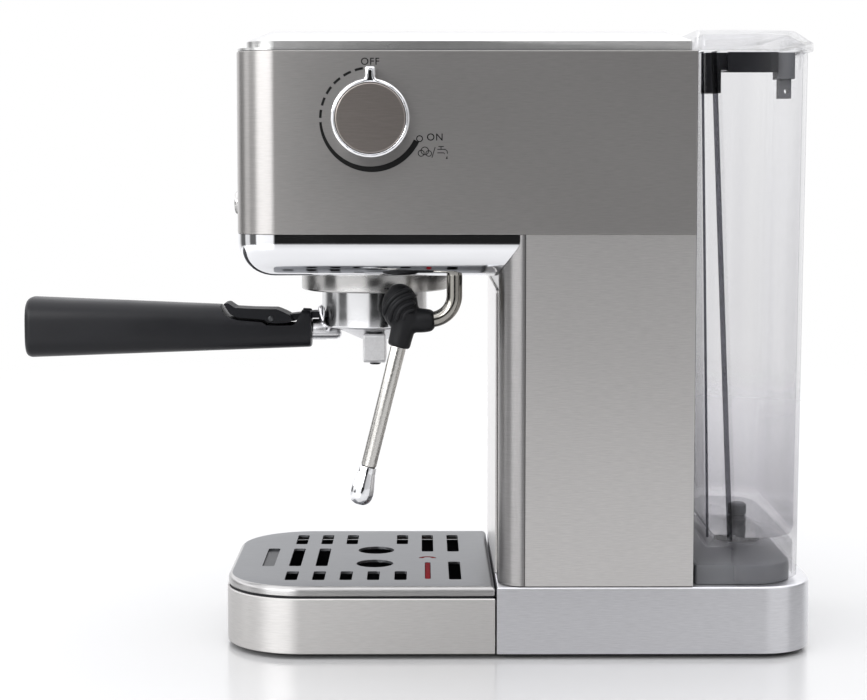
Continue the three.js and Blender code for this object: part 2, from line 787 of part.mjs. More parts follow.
// The bush inside the hood that the wand's tube swivels in.
function wandSocket() {
  const bottom = HOOD_BOTTOM + HOOD_WALL + 2 * CLEARANCE;
  const profile = [
    [WAND_RADIUS + CLEARANCE, bottom],
    [7, bottom],
    [7, bottom + 3],
    [6.6, bottom + 3],
    [6.6, 210],
    [1.5, 210],
    [1.5, 207],
    [WAND_RADIUS + CLEARANCE, 207],
  ];
  return placed(piece("wand_socket", turned(profile, COARSE_SIDES), brass), WAND_X, WAND_Y, 0);
}

const KNOB_GAP = 0.5;
const CAP_RADIUS = 17.1;
const TAB_WIDTH = 4.9;
const TAB_REACH = 5.8;

// The knob's polished body, in its own frame: the shaft along +Z, the pointer towards +Y.
function knobBody() {
  const ring = turned(
    [
      [3.4, KNOB_GAP],
      [KNOB_RADIUS - 0.8, KNOB_GAP],
      [KNOB_RADIUS, KNOB_GAP + 0.8],
      [KNOB_RADIUS, KNOB_DEPTH - 2.2],
      [KNOB_RADIUS - 0.6, KNOB_DEPTH - 0.9],
      [KNOB_RADIUS - 1.2, KNOB_DEPTH - 0.6],
      [CAP_RADIUS + CLEARANCE, KNOB_DEPTH - 1.2],
      [CAP_RADIUS + CLEARANCE, KNOB_DEPTH - 3],
      [3.4, KNOB_DEPTH - 3],
    ],
    FINE_SIDES,
  );
  const half = TAB_WIDTH / 2;
  const tab = prism(
    roundedOutline([-half, half], [CAP_RADIUS + 0.6, KNOB_RADIUS + TAB_REACH], [0, 0, 1.4, 1.4], 4),
    [KNOB_DEPTH - 9, KNOB_DEPTH - 1],
  );
  return piece("knob_body", join(ring, tab), chrome);
}

function knobCap() {
  const profile = [
    [0, KNOB_DEPTH - 3 + CLEARANCE],
    [CAP_RADIUS, KNOB_DEPTH - 3 + CLEARANCE],
    [CAP_RADIUS, KNOB_DEPTH - 0.9],
    [CAP_RADIUS - 0.6, KNOB_DEPTH - 0.4],
    [0, KNOB_DEPTH],
  ];
  return piece("knob_cap", turned(profile), brushedSteel);
}

// The stem that the knob turns, in the knob's frame.
function valveStem() {
  return piece("valve_stem", drum(3, [-18, KNOB_DEPTH - 3.3]), brass);
}

function steamKnob() {
  const knob = assembly(knobBody(), knobCap(), valveStem());
  knob.rotation.x = Math.PI / 2;
  return placed(knob, GROUP_X, -HALF_WIDTH, KNOB_Z);
}

// The bent tube that hangs from the socket and turns forward into the grip.
function wandUpperTube() {
  const path = new THREE.CurvePath();
  const corner = new THREE.Vector3(WAND_X, WAND_Y, KNUCKLE.z);
  const bendTop = corner.clone().setZ(KNUCKLE.z + WAND_BEND);
  const bendEnd = corner.clone().setX(WAND_X - WAND_BEND);
  path.add(new THREE.LineCurve3(new THREE.Vector3(WAND_X, WAND_Y, 206.5), bendTop));
  path.add(new THREE.QuadraticBezierCurve3(bendTop, corner, bendEnd));
  path.add(new THREE.LineCurve3(bendEnd, new THREE.Vector3(KNUCKLE.x + 6.5, WAND_Y, KNUCKLE.z)));
  return piece("wand_upper_tube", tube(path, WAND_RADIUS, 16, WAND_BORE, 12), chrome);
}

const SLEEVE_LENGTH = 14.5;
const TUBE_START = 5;
const NOZZLE_LENGTH = 20.5;

// The rubber grip: a boss round the upper tube, a finger dome and a sleeve down the lower tube.
function wandGrip() {
  const boss = rodX(6.2, [KNUCKLE.x, KNUCKLE.x + 15.4], [WAND_Y, KNUCKLE.z - 0.6]);
  const dome = new THREE.SphereGeometry(1, 14, 9).scale(9.2, 7.6, 11.6);
  dome.translate(KNUCKLE.x - 2.6, WAND_Y, KNUCKLE.z + 6.6);
  const sleeve = new THREE.CylinderGeometry(7.2, 5.7, SLEEVE_LENGTH + 3, COARSE_SIDES).rotateX(Math.PI / 2);
  sleeve.translate(0, 0, -(SLEEVE_LENGTH - 3) / 2);
  sleeve.rotateY(WAND_TILT).translate(KNUCKLE.x, WAND_Y, KNUCKLE.z);
  const upperBore = rodX(WAND_RADIUS + CLEARANCE, [KNUCKLE.x + 6.2, KNUCKLE.x + 20], [WAND_Y, KNUCKLE.z], 12);
  const lowerBore = drum(WAND_RADIUS + CLEARANCE, [-40, -TUBE_START + CLEARANCE], [0, 0], 12);
  lowerBore.rotateY(WAND_TILT).translate(KNUCKLE.x, WAND_Y, KNUCKLE.z);
  return piece("wand_grip", cut(join(boss, dome, sleeve), upperBore, lowerBore), rubber);
}

// The straight tube, in the arm's frame, which points down along -Z.
function wandLowerTube() {
  const low = -WAND_ARM_LENGTH + NOZZLE_LENGTH - 3;
  const profile = [
    [WAND_BORE, low],
    [WAND_RADIUS - 0.5, low],
    [WAND_RADIUS - 0.5, low + 3],
    [WAND_RADIUS, low + 3],
    [WAND_RADIUS, -TUBE_START],
    [WAND_BORE, -TUBE_START],
  ];
  return piece("wand_lower_tube", turned(profile, 16), brushedSteel);
}

// The round-ended steam nozzle, bored through to its tip.
function wandNozzle() {
  const top = -WAND_ARM_LENGTH + NOZZLE_LENGTH - CLEARANCE;
  const tip = -WAND_ARM_LENGTH;
  const profile = [
    [0.8, tip],
    [3, tip + 0.5],
    [5, tip + 2],
    [6, tip + 4.4],
    [6.15, tip + 7],
    [5.7, tip + 11],
    [4.8, tip + 15.6],
    [4.4, top],
    [WAND_RADIUS - 0.2, top],
    [WAND_RADIUS - 0.2, top - 3.4],
    [0.8, top - 3.4],
  ];
  return piece("wand_nozzle", turned(profile, 18), chrome);
}

function steamWand() {
  const arm = assembly(wandLowerTube(), wandNozzle());
  arm.position.copy(KNUCKLE);
  arm.rotation.y = WAND_TILT;
  return assembly(wandUpperTube(), wandGrip(), arm);
}

// ---------------------------------------------------------------- portafilter

const CUP_RADIUS = 28.2;
const CUP_TOP = 187.2;
const CUP_BOTTOM = 163.2;
const CONE_BOTTOM = 155;
const SPOUT_HALF_LENGTH = 5.9;
const SPOUT_BOTTOM = 143.5;

// The cast cup with its ears and the neck that the handle screws onto. Its frame stands on the group's axis.
function portafilterBody() {
  const cup = turned([
    [4, CONE_BOTTOM],
    [6.5, CONE_BOTTOM],
    [22.5, CUP_BOTTOM - 1],
    [CUP_RADIUS - 1, CUP_BOTTOM - 0.8],
    [CUP_RADIUS, CUP_BOTTOM],
    [CUP_RADIUS, CUP_TOP],
    [26.4, CUP_TOP],
    [26.4, 164.6],
    [4, 160.5],
  ]);
  const ears = EARS.map((angle) =>
    ringPiece([CUP_RADIUS - 1, EAR_RADIUS], angle, 28, [LIP_TOP + 0.5, CUP_TOP - CLEARANCE]),
  );
  const neckEnd = HANDLE_FRONT - GROUP_X;
  const neck = rodX(NECK_RADIUS, [neckEnd + CLEARANCE, -26.8], [0, NECK_Z], 18);
  const tang = rodX(4, [neckEnd - 24, neckEnd + 1], [0, NECK_Z]);
  const root = new THREE.SphereGeometry(1, 12, 8).scale(9, 8, 6).translate(-26, 0, NECK_Z + 1);
  const rib = slabY(
    [
      [neckEnd + 1, NECK_Z - NECK_RADIUS],
      [-19, NECK_Z - NECK_RADIUS],
      [-17.6, NECK_Z - 3.4],
      [-17.6, NECK_Z - 0.6],
      [-20, NECK_Z + 1],
      [neckEnd + 1, NECK_Z],
    ],
    [-2.8, 2.8],
  );
  const bowl = drum(26.4, [164.6, 195], [0, 0], FINE_SIDES);
  return piece("portafilter_body", cut(join(cup, ...ears, neck, tang, root, rib), bowl), castAlloy);
}

function filterBasket() {
  const profile = [
    [0, 165.2],
    [24.4, 165.2],
    [25.4, 166.4],
    [25.7, CUP_TOP + CLEARANCE],
    [28, CUP_TOP + CLEARANCE],
    [28, CUP_TOP + 1.1],
    [25, CUP_TOP + 1.1],
    [24.6, 166.9],
    [24, 166.1],
    [0, 166.1],
  ];
  return piece("filter_basket", turned(profile, MEDIUM_SIDES), brushedSteel);
}

// The twin spout: one block with two legs, bored from the cup to the two outlets.
function spout() {
  const half = [
    [6.5, CONE_BOTTOM - CLEARANCE],
    [18.3, CONE_BOTTOM + 4.8],
    [19.5, CONE_BOTTOM + 3.6],
    [19.5, SPOUT_BOTTOM + 1.6],
    [11, SPOUT_BOTTOM],
    [9.5, 147.5],
    [4.4, 147.5],
    [4.4, SPOUT_BOTTOM],
  ];
  const mirrored = half.map(([y, z]) => [-y, z]).reverse();
  const block = slabX([...half, ...mirrored], [-SPOUT_HALF_LENGTH, SPOUT_HALF_LENGTH]);
  const legs = [-1, 1].map((side) => drum(2.2, [SPOUT_BOTTOM - 1, 152.5], [0, side * 15], TUBE_SIDES));
  const cross = rodY(1.8, [-15, 15], [0, 151.2], TUBE_SIDES);
  const centre = drum(2.6, [150, 170], [0, 0], TUBE_SIDES);
  return piece("spout", cut(block, ...legs, cross, centre), castAlloy);
}

function spoutNut() {
  const profile = [
    [0, SPOUT_BOTTOM - 1.9],
    [2.5, SPOUT_BOTTOM - 1.9],
    [3, SPOUT_BOTTOM - 1.3],
    [3, SPOUT_BOTTOM - CLEARANCE],
    [0, SPOUT_BOTTOM - CLEARANCE],
  ];
  return piece("spout_nut", turned(profile, COARSE_SIDES), blackPlastic);
}

// The handle's section at a station: a rounded box between its lower and upper lines.
function handleSection([halfWidth, low, high], power = 3.2) {
  const sides = 24;
  const middle = (low + high) / 2;
  const halfHeight = (high - low) / 2;
  const bulge = (value) => Math.sign(value) * Math.abs(value) ** (2 / power);
  return Array.from({ length: sides }, (_, i) => {
    const angle = (i / sides) * 2 * Math.PI;
    const [across, up] = [bulge(Math.cos(angle)), bulge(Math.sin(angle))];
    return new THREE.Vector2(halfWidth * across, middle + halfHeight * up);
  });
}

const HANDLE_END_LOW = 145.7;
const HANDLE_END_HIGH = 178.2;
const HANDLE_FRONT_LOW = 151.2;
const HANDLE_FRONT_HIGH = 172;
const HANDLE_END_HALF_WIDTH = 14.5;
const HANDLE_FRONT_HALF_WIDTH = 10;

// Half width, lower line and upper line of the handle at a share of its length from the free end.
function handleSize(share, shrink = 0) {
  const mix = (from, to) => from + (to - from) * share;
  return [
    mix(HANDLE_END_HALF_WIDTH, HANDLE_FRONT_HALF_WIDTH) - shrink,
    mix(HANDLE_END_LOW, HANDLE_FRONT_LOW) + shrink,
    mix(HANDLE_END_HIGH, HANDLE_FRONT_HIGH) - shrink,
  ];
}

// The tapering handle, with the bed and the channel of the basket clip cut in its top.
function handle() {
  const length = HANDLE_FRONT - HANDLE_END;
  const stations = [
    [0, 5],
    [0.7, 2.4],
    [2.4, 0.9],
    [5.4, 0],
    [length * 0.5, 0],
    [length - 1, 0],
    [length, 1],
  ];
  const levels = stations.map(([run, shrink]) => [handleSection(handleSize(run / length, shrink)), run]);
  const body = loft(levels).rotateX(Math.PI / 2).rotateZ(Math.PI / 2).translate(HANDLE_END, 0, 0);
  const bed = slabY(
    [
      [-103.2, 180],
      [-97.6, 167.4],
      [-92, 166],
      [-79, 165],
      [-77, 163.2],
      [-62.4, 163.2],
      [-58.2, 171],
      [-58.2, 180],
    ],
    [-20, 20],
  );
  const rib = box([-98, -68], [-2.8, 2.8], [160, 167.6]);
  const ribHole = rodY(1.6, [-5, 5], [CLIP_PIVOT_X, CLIP_PIVOT_Z], TUBE_SIDES);
  const channel = box([-64, -50], [-6.4, 6.4], [166.2, 180]);
  const socket = rodX(4.5, [HANDLE_FRONT - 24.6, HANDLE_FRONT + 2], [0, NECK_Z]);
  const shaped = cut(body, bed);
  return piece("handle", cut(join(shaped, rib), ribHole, channel, socket), blackPlastic);
}

const CLIP_HALF_WIDTH = 7.6;

// The clip that holds the basket in: a thumb lever behind the pin, and a nose over the neck.
function basketClip() {
  const lever = slabY(
    [
      [-99.6, 174.6],
      [-97.2, 175],
      [-93.4, 172.3],
      [-71.3, 171.9],
      [-64.5, 168.9],
      [-63, 165.4],
      [-70.5, 164.4],
      [-76, 164.6],
      [-78, 167.8],
      [-96, 169.6],
    ],
    [-CLIP_HALF_WIDTH, CLIP_HALF_WIDTH],
  );
  const nose = slabY(
    [
      [-66, 168.6],
      [-48.8, 170.3],
      [-48.8, 167],
      [-66, 166.8],
    ],
    [-5.8, 5.8],
  );
  const ribSlot = box([-98, -66], [-3.1, 3.1], [160, 169]);
  const pinHole = rodY(1.5, [-20, 20], [CLIP_PIVOT_X, CLIP_PIVOT_Z], TUBE_SIDES);
  return piece("basket_clip", cut(join(lever, nose), ribSlot, pinHole), blackPlastic);
}

function clipPin() {
  const reach = CLIP_HALF_WIDTH + 0.3;
  return piece("clip_pin", rodY(1.2, [-reach, reach], [CLIP_PIVOT_X, CLIP_PIVOT_Z], TUBE_SIDES), chrome);
}

function portafilter() {
  const onGroupAxis = assembly(portafilterBody(), filterBasket(), spout(), spoutNut());
  onGroupAxis.position.x = GROUP_X;
  return assembly(onGroupAxis, handle(), clipPin(), basketClip());
}

// ---------------------------------------------------------------- drip tray

const TRAY_BACK = BASE_FRONT - 0.5;
const TRAY_FLOOR = 6.4;
const TRAY_UNDERSIDE = 4.6;
const BASIN_TOP = 31.7;
const TRAY_HALF_WIDTH = HALF_WIDTH - 0.3;

// The steel band round the front and sides of the tray.
function trayBand() {
  const outside = plan([TRAY_FRONT, TRAY_BACK], TRAY_HALF_WIDTH, TRAY_CORNER, 0);
  const inside = plan([TRAY_FRONT + 1.1, 80], TRAY_HALF_WIDTH - 1.1, TRAY_CORNER - 1.1, 0);
  const band = cut(prism(outside, [SKIRT_BOTTOM, TRAY_WALL_TOP]), prism(inside, [0, 60]));
  return piece("tray_band", band, brushedSteel);
}

// The black basin that catches the drips. The tongue of the base plate lies under it.
function dripTray() {
  const outline = (inset) => plan([TRAY_FRONT, TRAY_BACK], TRAY_HALF_WIDTH, TRAY_CORNER, 0.9, inset);
  const basin = cut(
    prism(outline(1.4), [TRAY_UNDERSIDE, BASIN_TOP]),
    prism(outline(3.4), [TRAY_FLOOR, 60]),
  );
  return piece("drip_tray", basin, blackPlastic);
}

const GRID_SHEET = 1.5;
const GRID_LIP = 32;
const columnX = (k) => GROUP_X + SLOT_PITCH * k;

// Slots of the drip grid as [column, nearest y, farthest y].
function gridSlots() {
  const farShort = [-3, -2, -1, 1].map((k) => [k, 34, 60]);
  const farLong = [2, 3].map((k) => [k, 13.5, 60]);
  const nearShort = [-3, -2, -1, 0, 1].map((k) => [k, -58, -37]);
  const nearLong = [[3, -57, -13]];
  const middle = [-3, -2].map((k) => [k, -24, 22]);
  return [...farShort, ...farLong, ...nearShort, ...nearLong, ...middle];
}

function slotTool([k, y0, y1], depth = [30, 40]) {
  const half = SLOT_WIDTH / 2;
  const outline = roundedOutline([columnX(k) - half, columnX(k) + half], [y0, y1], [0.9, 0.9, 0.9, 0.9], 1);
  return prism(outline, depth);
}

const FLOAT_MARK_RADIUS = 4.75;
const FLOAT_MARK_WIDTH = 1.5;
const FLOAT_SLOT = [-55.7, -14.6];

// The steel grid: a pressed sheet with a rounded lip, its slots, two cup holes and a finger pull.
function dripGrid() {
  const lengthwise = [TRAY_FRONT + 0.6, TRAY_BACK - 0.4];
  const outline = (inset) => plan(lengthwise, TRAY_HALF_WIDTH - 0.7, TRAY_CORNER - 0.6, 0.9, inset);
  const pressed = loft([
    [outline(0), GRID_LIP],
    [outline(0), GRID_TOP - 2.4],
    [outline(0.4), GRID_TOP - 1.2],
    [outline(1.3), GRID_TOP - 0.3],
    [outline(2.4), GRID_TOP],
  ]);
  const hollow = prism(outline(GRID_SHEET + 0.6), [GRID_LIP - 1, GRID_TOP - GRID_SHEET]);
  const cupHoles = [-17.5, 17.5].map((y) => drum(9.75, [30, 40], [columnX(0), y], MEDIUM_SIDES));
  const fingerPull = slotTool([-4, -24, 22], [GRID_TOP - 1, 40]);
  const floatX = columnX(FLOAT_COLUMN);
  const floatSlot = box([floatX - FLOAT_SLOT_WIDTH / 2, floatX + FLOAT_SLOT_WIDTH / 2], FLOAT_SLOT, [30, 40]);
  const markSlot = ringPiece([FLOAT_MARK_RADIUS - FLOAT_MARK_WIDTH, FLOAT_MARK_RADIUS], 90, 180, [30, 40]);
  markSlot.translate(floatX, -4, 0);
  const tools = [...gridSlots().map((slot) => slotTool(slot)), ...cupHoles, fingerPull, floatSlot, markSlot];
  return piece("drip_grid", cut(pressed, hollow, ...tools), brushedSteel);
}

// The red float: a hollow pad that rises with the water and shows through the grid when the tray is full.
function trayFloat() {
  const x = columnX(FLOAT_COLUMN);
  const pad = cut(box([x - 7, x + 7], [-60, 4], [7, 22]), box([x - 5.5, x + 5.5], [-58.5, 2.5], [6, 20.5]));
  const blade = box([x - 1.1, x + 1.1], [FLOAT_SLOT[0] + 0.5, FLOAT_SLOT[1] - 0.5], [21, GRID_TOP - 0.6]);
  const mark = ringPiece([3.65, 4.35], 90, 160, [21, GRID_TOP - 0.6]).translate(x, -4, 0);
  return piece("tray_float", join(pad, blade, mark), redPlastic);
}

// ---------------------------------------------------------------- water tank

const SHOULDER = 9.8;
const SHOULDER_STEP = 8;

// A tank outline at a height. The front wall leans, and so does the back by less. The front of the
// tank is narrower than the rest, and a sloping shoulder on each side joins the two widths.
function tankOutline(z, inset = 0) {
  const share = (z - TANK_BOTTOM) / (HEAD_TOP - TANK_BOTTOM);
  const front = TANK_FRONT_BOTTOM + (TANK_FRONT_TOP - TANK_FRONT_BOTTOM) * share + inset;
  const back = TANK_BACK_BOTTOM + (TANK_BACK_TOP - TANK_BACK_BOTTOM) * share - inset;
  const half = TANK_HALF_WIDTH - inset;
  const curve = 22 - inset;
  const body = roundedOutline([front + SHOULDER, back], [-half, half], [0, curve, curve, 0]);
  const narrow = half - SHOULDER_STEP;
  const chest = [
    [front + SHOULDER - 1.5, narrow],
    [front, narrow],
    [front, -narrow],
    [front + SHOULDER - 1.5, -narrow],
  ];
  return [...body, ...chest.map(([x, y]) => new THREE.Vector2(x, y))];
}

const tankBlock = (inset, z0, z1) => loft([
  [tankOutline(z0, inset), z0],
  [tankOutline(z1, inset), z1],
]);

// The clear tank: walls, a floor with the valve's hole, a skirt round the platform and two hinge lugs.
function tankShell() {
  const outer = tankBlock(0, TANK_BOTTOM, HEAD_TOP);
  const lugs = [-1, 1].map((side) => {
    const y = side * LID_LUG_Y;
    const foot = box([198.6, LID_HINGE_X], [y - 2, y + 2], [298, LID_HINGE_Z]);
    return join(foot, rodY(2, [y - 2, y + 2], [LID_HINGE_X, LID_HINGE_Z], 16));
  });
  const inside = tankBlock(TANK_WALL, TANK_FLOOR + TANK_WALL, HEAD_TOP + 1);
  const underside = tankBlock(TANK_WALL, TANK_BOTTOM - 1, TANK_FLOOR);
  const frontGap = box([130, SKIRT_FRONT], [-80, 80], [30, TANK_FLOOR - 3]);
  const valveHole = drum(4.5, [50, 65], [VALVE_X, 0]);
  const pinHoles = rodY(1.5, [-40, 40], [LID_HINGE_X, LID_HINGE_Z], 16);
  const shell = cut(join(outer, ...lugs), inside, underside, frontGap, valveHole, pinHoles);
  return piece("tank_shell", shell, clearPlastic);
}

// The outlet valve: a spigot that plugs into the port, a neck through the floor and a strainer cap.
function tankValve() {
  const floorTop = TANK_FLOOR + TANK_WALL;
  const profile = [
    [0, 44.8],
    [6.6, 44.8],
    [7.3, 45.8],
    [7.3, TANK_FLOOR - CLEARANCE],
    [4.1, TANK_FLOOR - CLEARANCE],
    [4.1, floorTop + CLEARANCE],
    [4.9, floorTop + CLEARANCE],
    [4.9, 65.4],
    [3.6, 66.4],
    [0, 66.4],
  ];
  return placed(piece("tank_valve", turned(profile, 18), greyPlastic), VALVE_X, 0, 0);
}

// The black carrying handle inside the top of the tank, on the knob side.
function tankHandle() {
  const top = 304.6;
  const leg = box([147.6, 158.4], [-61.8, -46], [284.5, top]);
  const heel = box([155.4, 160], [-70, -40], [280, 296]);
  const bar = box([158, 181], [-68, -32], [296, top]);
  const grip = box([160, 176], [-64, -36], [290, top - 2]);
  const rim = box([158, 183], [-68, -64.5], [294.6, top]);
  return piece("tank_handle", join(cut(leg, heel), cut(bar, grip), rim), blackPlastic);
}

// The grey block at the back of the tank's mouth that the lid's catch drops into.
function lidCatch() {
  const block = box([183.4, 192], [-64, -50], [291.5, 304.6]);
  const socket = box([184.8, 190.8], [-61, -53], [281.8, 292]);
  const bore = rodY(1.3, [-70, -40], [188.4, 285.4], TUBE_SIDES);
  return piece("lid_catch", cut(join(block, socket), bore), greyPlastic);
}

// The clear lid, bevelled at the back, hollow below, with a hinge knuckle between the tank's lugs.
function tankLid() {
  const outline = (inset, backInset = inset) =>
    roundedOutline(
      [LID_FRONT + inset, LID_BACK - backInset],
      [-TANK_HALF_WIDTH - 0.4 + inset, TANK_HALF_WIDTH + 0.4 - inset],
      [2, 22 - inset, 22 - inset, 2],
    );
  const body = loft([
    [outline(0), LID_BOTTOM],
    [outline(0), LID_TOP - 5.6],
    [outline(1, 9), LID_TOP],
  ]);
  const hollow = loft([
    [outline(4), LID_BOTTOM - 1],
    [outline(4), LID_TOP - 6.4],
    [outline(5, 12), LID_TOP - 2],
  ]);
  const knuckle = rodY(2, [-LID_LUG_Y + 2.4, LID_LUG_Y - 2.4], [LID_HINGE_X, LID_HINGE_Z], 16);
  const notches = [-1, 1].map((side) => {
    const y = side * LID_LUG_Y;
    return box([197, 206], [y - 2.4, y + 2.4], [304, LID_HINGE_Z + 2.5]);
  });
  const bore = rodY(1.5, [-40, 40], [LID_HINGE_X, LID_HINGE_Z], 16);
  return piece("tank_lid", cut(join(cut(body, hollow), knuckle), ...notches, bore), clearPlastic);
}

function lidHingePin() {
  const reach = LID_LUG_Y + 2;
  const pin = rodY(1.2, [-reach, reach], [LID_HINGE_X, LID_HINGE_Z], TUBE_SIDES);
  return piece("lid_hinge_pin", pin, brushedSteel);
}

// ---------------------------------------------------------------- the machine

const base = assembly(
  basePlate(),
  ...FEET.map((at, i) => foot(i + 1, at)),
  baseShell(),
  tankPlatform(),
  waterPort(),
  portSeal(),
  cordGland(),
);
const column = assembly(
  chassis(),
  columnSide("column_side_near", -1),
  columnSide("column_side_far", 1),
  columnFront(),
  splashPanel(),
  rearPanel(),
);
const head = assembly(headWrap(), headHood(), topCover(), controlBoard());
const buttons = assembly(...buttonPlaces.map((y, i) => button(`button_${i + 1}`, y)));
const group = assembly(groupCollar(), groupSeal(), showerScreen(), showerScrew(), boiler());
group.position.x = GROUP_X;
const waterWorks = assembly(
  pump(),
  pumpMount("pump_mount_low", 106),
  pumpMount("pump_mount_high", 138),
  suctionHose(),
  pressureHose(),
  steamValve(),
  steamHose(),
  wandSocket(),
);
const tray = assembly(trayBand(), dripTray(), dripGrid(), trayFloat());
const tank = assembly(tankShell(), tankValve(), tankHandle(), lidCatch(), tankLid(), lidHingePin());

const machine = assembly(
  base,
  column,
  head,
  buttons,
  group,
  waterWorks,
  steamKnob(),
  steamWand(),
  portafilter(),
  tray,
  tank,
);
machine.position.set(-(HANDLE_END + BASE_BACK + GLAND_REACH) / 2, KNOB_DEPTH / 2, 0);

export default machine;
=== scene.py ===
import json
import math

import bmesh
import bpy
from mathutils import Matrix, Vector


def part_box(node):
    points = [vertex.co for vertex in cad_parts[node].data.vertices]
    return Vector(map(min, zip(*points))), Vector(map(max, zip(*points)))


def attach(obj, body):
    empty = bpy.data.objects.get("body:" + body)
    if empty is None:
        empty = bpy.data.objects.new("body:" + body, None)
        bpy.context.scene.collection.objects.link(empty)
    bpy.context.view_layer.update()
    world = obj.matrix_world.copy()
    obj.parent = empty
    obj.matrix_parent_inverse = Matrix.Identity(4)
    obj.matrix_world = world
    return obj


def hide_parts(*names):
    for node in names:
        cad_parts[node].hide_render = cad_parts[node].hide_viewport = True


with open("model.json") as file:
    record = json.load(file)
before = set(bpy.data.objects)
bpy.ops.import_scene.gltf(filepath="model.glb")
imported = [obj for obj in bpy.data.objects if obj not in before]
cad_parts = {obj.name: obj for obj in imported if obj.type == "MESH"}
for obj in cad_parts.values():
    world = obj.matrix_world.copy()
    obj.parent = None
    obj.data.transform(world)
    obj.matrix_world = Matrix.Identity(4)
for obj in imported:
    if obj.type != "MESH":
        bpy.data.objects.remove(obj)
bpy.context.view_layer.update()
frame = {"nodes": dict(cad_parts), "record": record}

RECORD = frame["record"]
BODY_OF = {node: body for body, nodes in RECORD["behaviour"]["bodies"].items() for node in nodes}
SLOT_OF = {part["node"]: part["material_slot"] for part in RECORD["subparts"]}
OFFSET = Vector((-0.9, 8, 0))  # from the machine's middle plane to the frame's origin

# ---------------------------------------------------------------- sizes shared by several pieces

HALF_WIDTH = 75
STEEL = 1.4  # sheet thickness of the head and the column's front
TRAY_FRONT, TRAY_BACK, TRAY_CORNER = -95.8, 42.9, 40
HEAD_FRONT, HEAD_TOP, HEAD_CORNER = -87.4, 305, 20.5
BASE_FRONT, BASE_BACK = 43.4, 205
COLUMN_FRONT, COLUMN_BACK = 44.2, 142
CORNER_END = 57.2  # where the column's front sheet and the hood end
HOOD_BOTTOM, HOOD_TOP, HOOD_FILLET = 192.7, 214, 18
GROUP_X = -19.4  # the brew group's axis, with the knob above it
KNOB = Vector((GROUP_X, -HALF_WIDTH, 271.5))
BUTTON_YS, BUTTON_Z = (-32, 0, 32), 229
KNUCKLE = Vector((-2.8, -51, 169.8))  # where the two tubes of the steam wand meet
WAND_X, WAND_TILT = 22.3, math.radians(14.1)
NECK_END, NECK_Z = -53.3, 160.5
HANDLE_END = -205
VALVE_X = 176
TANK_BOTTOM = 39
HINGE_X, HINGE_Z, HINGE_YS = 202, 306.6, (-26, 26)


# ---------------------------------------------------------------- outlines and shells

def circle(radius, steps, centre=(0, 0), start=0.0, end=2 * math.pi):
    """Points of a circle, or of an arc when start and end differ from a full turn."""
    full = abs(end - start - 2 * math.pi) < 1e-9
    count = steps if full else steps + 1
    angles = [start + (end - start) * i / steps for i in range(count)]
    return [(centre[0] + radius * math.cos(a), centre[1] + radius * math.sin(a)) for a in angles]


def rounded(x0, x1, y0, y1, radii, steps=14):
    """A rectangle with a radius for each corner, counter-clockwise from its lowest corner."""
    points = []
    corners = [(x0, y0, 1, 1), (x1, y0, -1, 1), (x1, y1, -1, -1), (x0, y1, 1, -1)]
    for turn, ((x, y, in_x, in_y), r) in enumerate(zip(corners, radii)):
        if r <= 0:
            points.append((x, y))
            continue
        start = math.pi + turn * math.pi / 2
        points += circle(r, steps, (x + in_x * r, y + in_y * r), start, start + math.pi / 2)
    return points


def plan(front, back, half, front_radius, back_radius, inset=0.0, steps=14):
    """A plan outline that is the same on both sides of y = 0."""
    f, b = (max(r - inset, 0.6) if r > 0 else 0 for r in (front_radius, back_radius))
    return rounded(front + inset, back - inset, -half + inset, half - inset, (f, b, b, f), steps)


def soften(points, radius, steps=3, closed=True):
    """The same line with its corners rounded."""
    made, count = [], len(points)
    for i, corner in enumerate(points):
        if not closed and i in (0, count - 1):
            made.append(corner)
            continue
        here, before, after = Vector(corner), Vector(points[i - 1]), Vector(points[(i + 1) % count])
        reach = min(radius, 0.45 * (before - here).length, 0.45 * (after - here).length)
        a = here + (before - here).normalized() * reach
        b = here + (after - here).normalized() * reach
        for k in range(steps + 1):
            t = k / steps
            made.append(tuple(a * (1 - t) ** 2 + here * (2 * t * (1 - t)) + b * t * t))
    return made


def loft(levels):
    """A closed skin over [outline, height] levels with equal numbers of points."""
    count = len(levels[0][0])
    points = [(x, y, z) for outline, z in levels for x, y in outline]
    faces = []
    for level in range(len(levels) - 1):
        for i in range(count):
            a, b = level * count + i, level * count + (i + 1) % count
            faces.append((a, b, b + count, a + count))
    top = (len(levels) - 1) * count
    faces.append(tuple(reversed(range(count))))
    faces.append(tuple(range(top, top + count)))
    return points, faces


def prism(outline, z0, z1):
    return loft([(outline, z0), (outline, z1)])


def rounded_over(outline, radius, z):
    """Loft levels that round an edge over, from the height z up. outline takes an inset."""
    turns = [math.radians(d) for d in range(0, 91, 15)]
    return [(outline(radius * (1 - math.cos(a))), z + radius * math.sin(a)) for a in turns]


def turned(profile, steps=72, closed=True):
    """A [radius, height] profile turned round the Z axis. A closed profile is a ring of its own."""
    points, faces, rings = [], [], []
    for r, z in profile:
        start = len(points)
        if r < 1e-6:
            points.append((0, 0, z))
            rings.append([start] * steps)
        else:
            points += [(x, y, z) for x, y in circle(r, steps)]
            rings.append(list(range(start, start + steps)))
    for k in range(len(profile) if closed else len(profile) - 1):
        a, b = rings[k], rings[(k + 1) % len(profile)]
        for i in range(steps):
            j = (i + 1) % steps
            corners = list(dict.fromkeys((a[i], a[j], b[j], b[i])))
            if len(corners) > 2:
                faces.append(tuple(corners))
    return points, faces


def rod(radius, z0, z1, steps):
    """A round bar on the Z axis."""
    return turned([(0, z0), (radius, z0), (radius, z1), (0, z1)], steps, False)


